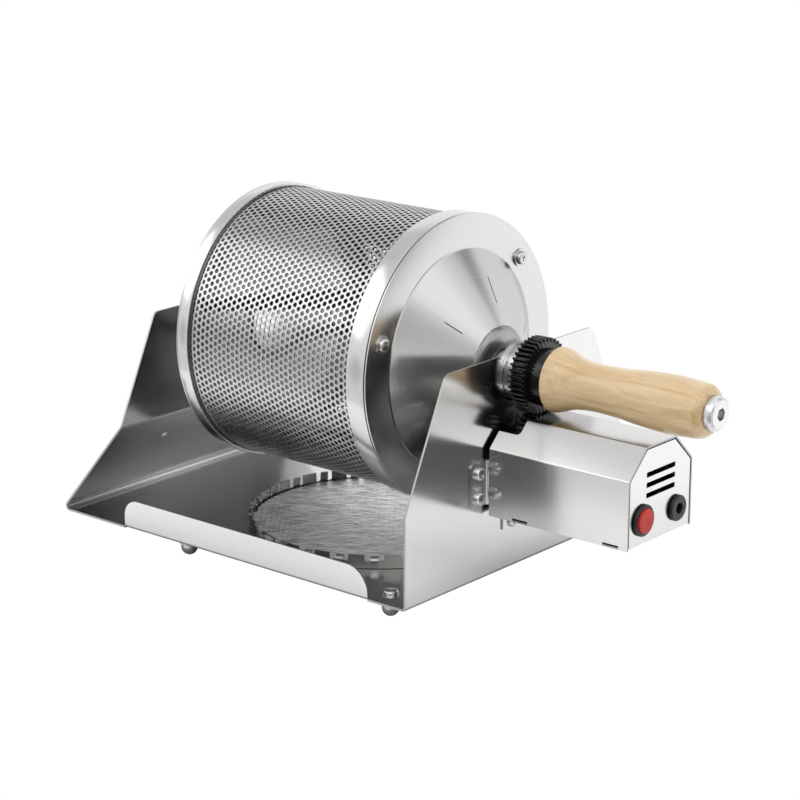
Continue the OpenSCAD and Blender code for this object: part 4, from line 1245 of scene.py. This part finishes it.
finish_of = {node_name: material for material, names in NODE_FINISH for node_name in names.split()}
for node_name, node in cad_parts.items():
    node.data.materials.clear()
    node.data.materials.append(finish_of[node_name])


# -------- surroundings, light and camera

# The tent's soft patches: azimuth, elevation and width in degrees, and the share of light that is missing.
PATCHES = (
    (159, 48, 14, 0.3), (58, 41, 10, 0.9), (-10, 16, 12, 0.35), (-130, -6, 7, 0.35), (-50, -22, 26, 0.8),
    (-55, 10, 20, 0.45), (50, -16, 26, -0.5), (206, 46, 17, 0.25), (58.5, 25.5, 5, 0.75), (38, -1, 6.5, 0.95),
    (18, 30, 12, -0.3),
)


def direction(azimuth, elevation):
    a, e = radians(azimuth), radians(elevation)
    return cos(a) * cos(e), sin(a) * cos(e), sin(e)


def tent():
    """A white light tent: bright all round, with the soft darker patches of its seams and stands."""
    world = bpy.data.worlds.new("light_tent")
    bpy.context.scene.world = world
    world.use_nodes = True
    net = Net(world.node_tree)
    net.tree.nodes.clear()
    way = net.add("ShaderNodeTexCoord")["Generated"]
    height = net.add("ShaderNodeMapRange", {0: net.add("ShaderNodeSeparateXYZ", {0: way})[2], 1: -1.0, 2: 1.0})
    value = net.ramp(height, (0.0, 0.9), (0.42, 1.05), (0.5, 1.1), (0.7, 1.18), (1.0, 1.25))
    for azimuth, elevation, width, drop in PATCHES:
        links = {0: way, 1: direction(azimuth, elevation)}
        dot = net.add("ShaderNodeVectorMath", links, operation="DOT_PRODUCT")["Value"]
        rim, core = cos(radians(width * 1.6)), cos(radians(width * 0.4))
        value = value * net.fade(dot, rim, core, 1.0, 1.0 - drop)
    tint = net.add("ShaderNodeCombineColor", {0: value, 1: value, 2: value})
    seen = net.add("ShaderNodeBackground", {0: (1.0, 1.0, 1.0, 1.0), 1: 1.0})
    lit = net.add("ShaderNodeBackground", {0: tint, 1: 1.0})
    camera_ray = net.add("ShaderNodeLightPath")["Is Camera Ray"]
    net.add("ShaderNodeOutputWorld", {0: net.add("ShaderNodeMixShader", {0: camera_ray, 1: lit, 2: seen})})


def studio_paper():
    """White paper that the camera sees burnt out. Its colour carries a painted shadow under the object and close round
    it, and it glows a little farther round it as painted light.
    """
    paper, net, bsdf = new_material("studio_paper")
    spot = net.add("ShaderNodeSeparateXYZ", {0: net.point()})
    beyond = []
    for k, (low, high) in enumerate(((cad_box[0][0], PLATE_FACE), (cad_box[0][1], cad_box[1][1]))):
        beyond.append((spot[k] - (low + high) / 2).maths("ABSOLUTE") - (high - low) / 2)
    reach = beyond[0].maths("MAXIMUM", beyond[1])
    tone = net.ramp(net.noise(net.point(), 1.5, 2.0), (0.3, 0.86), (0.7, 0.9))
    # Painted shadow: the base colour drops to 0.3 under the object and just round it. Painted light: the emission glows
    # from 8 to 50 mm beyond it.
    for key, value in {
        "Base Color": tone * net.fade(reach, -0.004, 0.016, 0.3, 1.0), "Roughness": 0.9, "Specular IOR Level": 0.1,
        "Emission Color": (1, 1, 1, 1), "Emission Strength": net.fade(reach, 0.008, 0.05, 0.0, 0.26),
    }.items():
        net.feed(value, bsdf.node.inputs[key])
    white = net.add("ShaderNodeEmission", {0: (1, 1, 1, 1), 1: 1.0})
    camera_ray = net.add("ShaderNodeLightPath")["Is Camera Ray"]
    shown = net.add("ShaderNodeMixShader", {0: camera_ray, 1: bsdf, 2: white})
    net.feed(shown, net.tree.nodes["Material Output"].inputs[0])
    paper.cycles.emission_sampling = "NONE"
    return paper


def softbox(name, place, size, power):
    """A large square area light that looks at the middle of the drum's base."""
    data = bpy.data.lights.new(name, "AREA")
    data.shape = "RECTANGLE"
    data.size = data.size_y = size
    data.energy = power
    obj = in_scene(name, data)
    obj.location = place
    obj.rotation_euler = (Vector((0, 0, 0.08)) - Vector(place)).to_track_quat("-Z", "Y").to_euler()


tent()
floor_mesh = bpy.data.meshes.new("studio_floor")
floor_z = cad_box[0][2] - 0.0002
rim = [(x, y, floor_z) for x, y in circle_points(-0.08, 0.12, 0.36, 96)]
floor_mesh.from_pydata(rim, [], [tuple(range(len(rim)))])
floor_mesh.materials.append(studio_paper())
in_scene("studio_floor", floor_mesh)
softbox("key_softbox", (0.9, -1.3, 1.5), 1.4, 9)
softbox("fill_softbox", (-1.3, -0.9, 1.1), 1.2, 5)

# The camera as worked out from the photo.
TARGET = Vector((-19.4615, 0, 88.896)) * MM
DISTANCE = 1.40015
scene = bpy.context.scene
scene.view_settings.view_transform = "Standard"
scene.view_settings.look = "None"
lens = bpy.data.cameras.new("photo_camera")
lens.lens = 112.4055
lens.sensor_width = 36
lens.clip_start = 0.01
lens.clip_end = 50
camera = in_scene("photo_camera", lens)
back = Vector(direction(39.988 - 90, 16.316))
camera.location = TARGET + back * DISTANCE
camera.rotation_euler = (-back).to_track_quat("-Z", "Y").to_euler()
scene.camera = camera
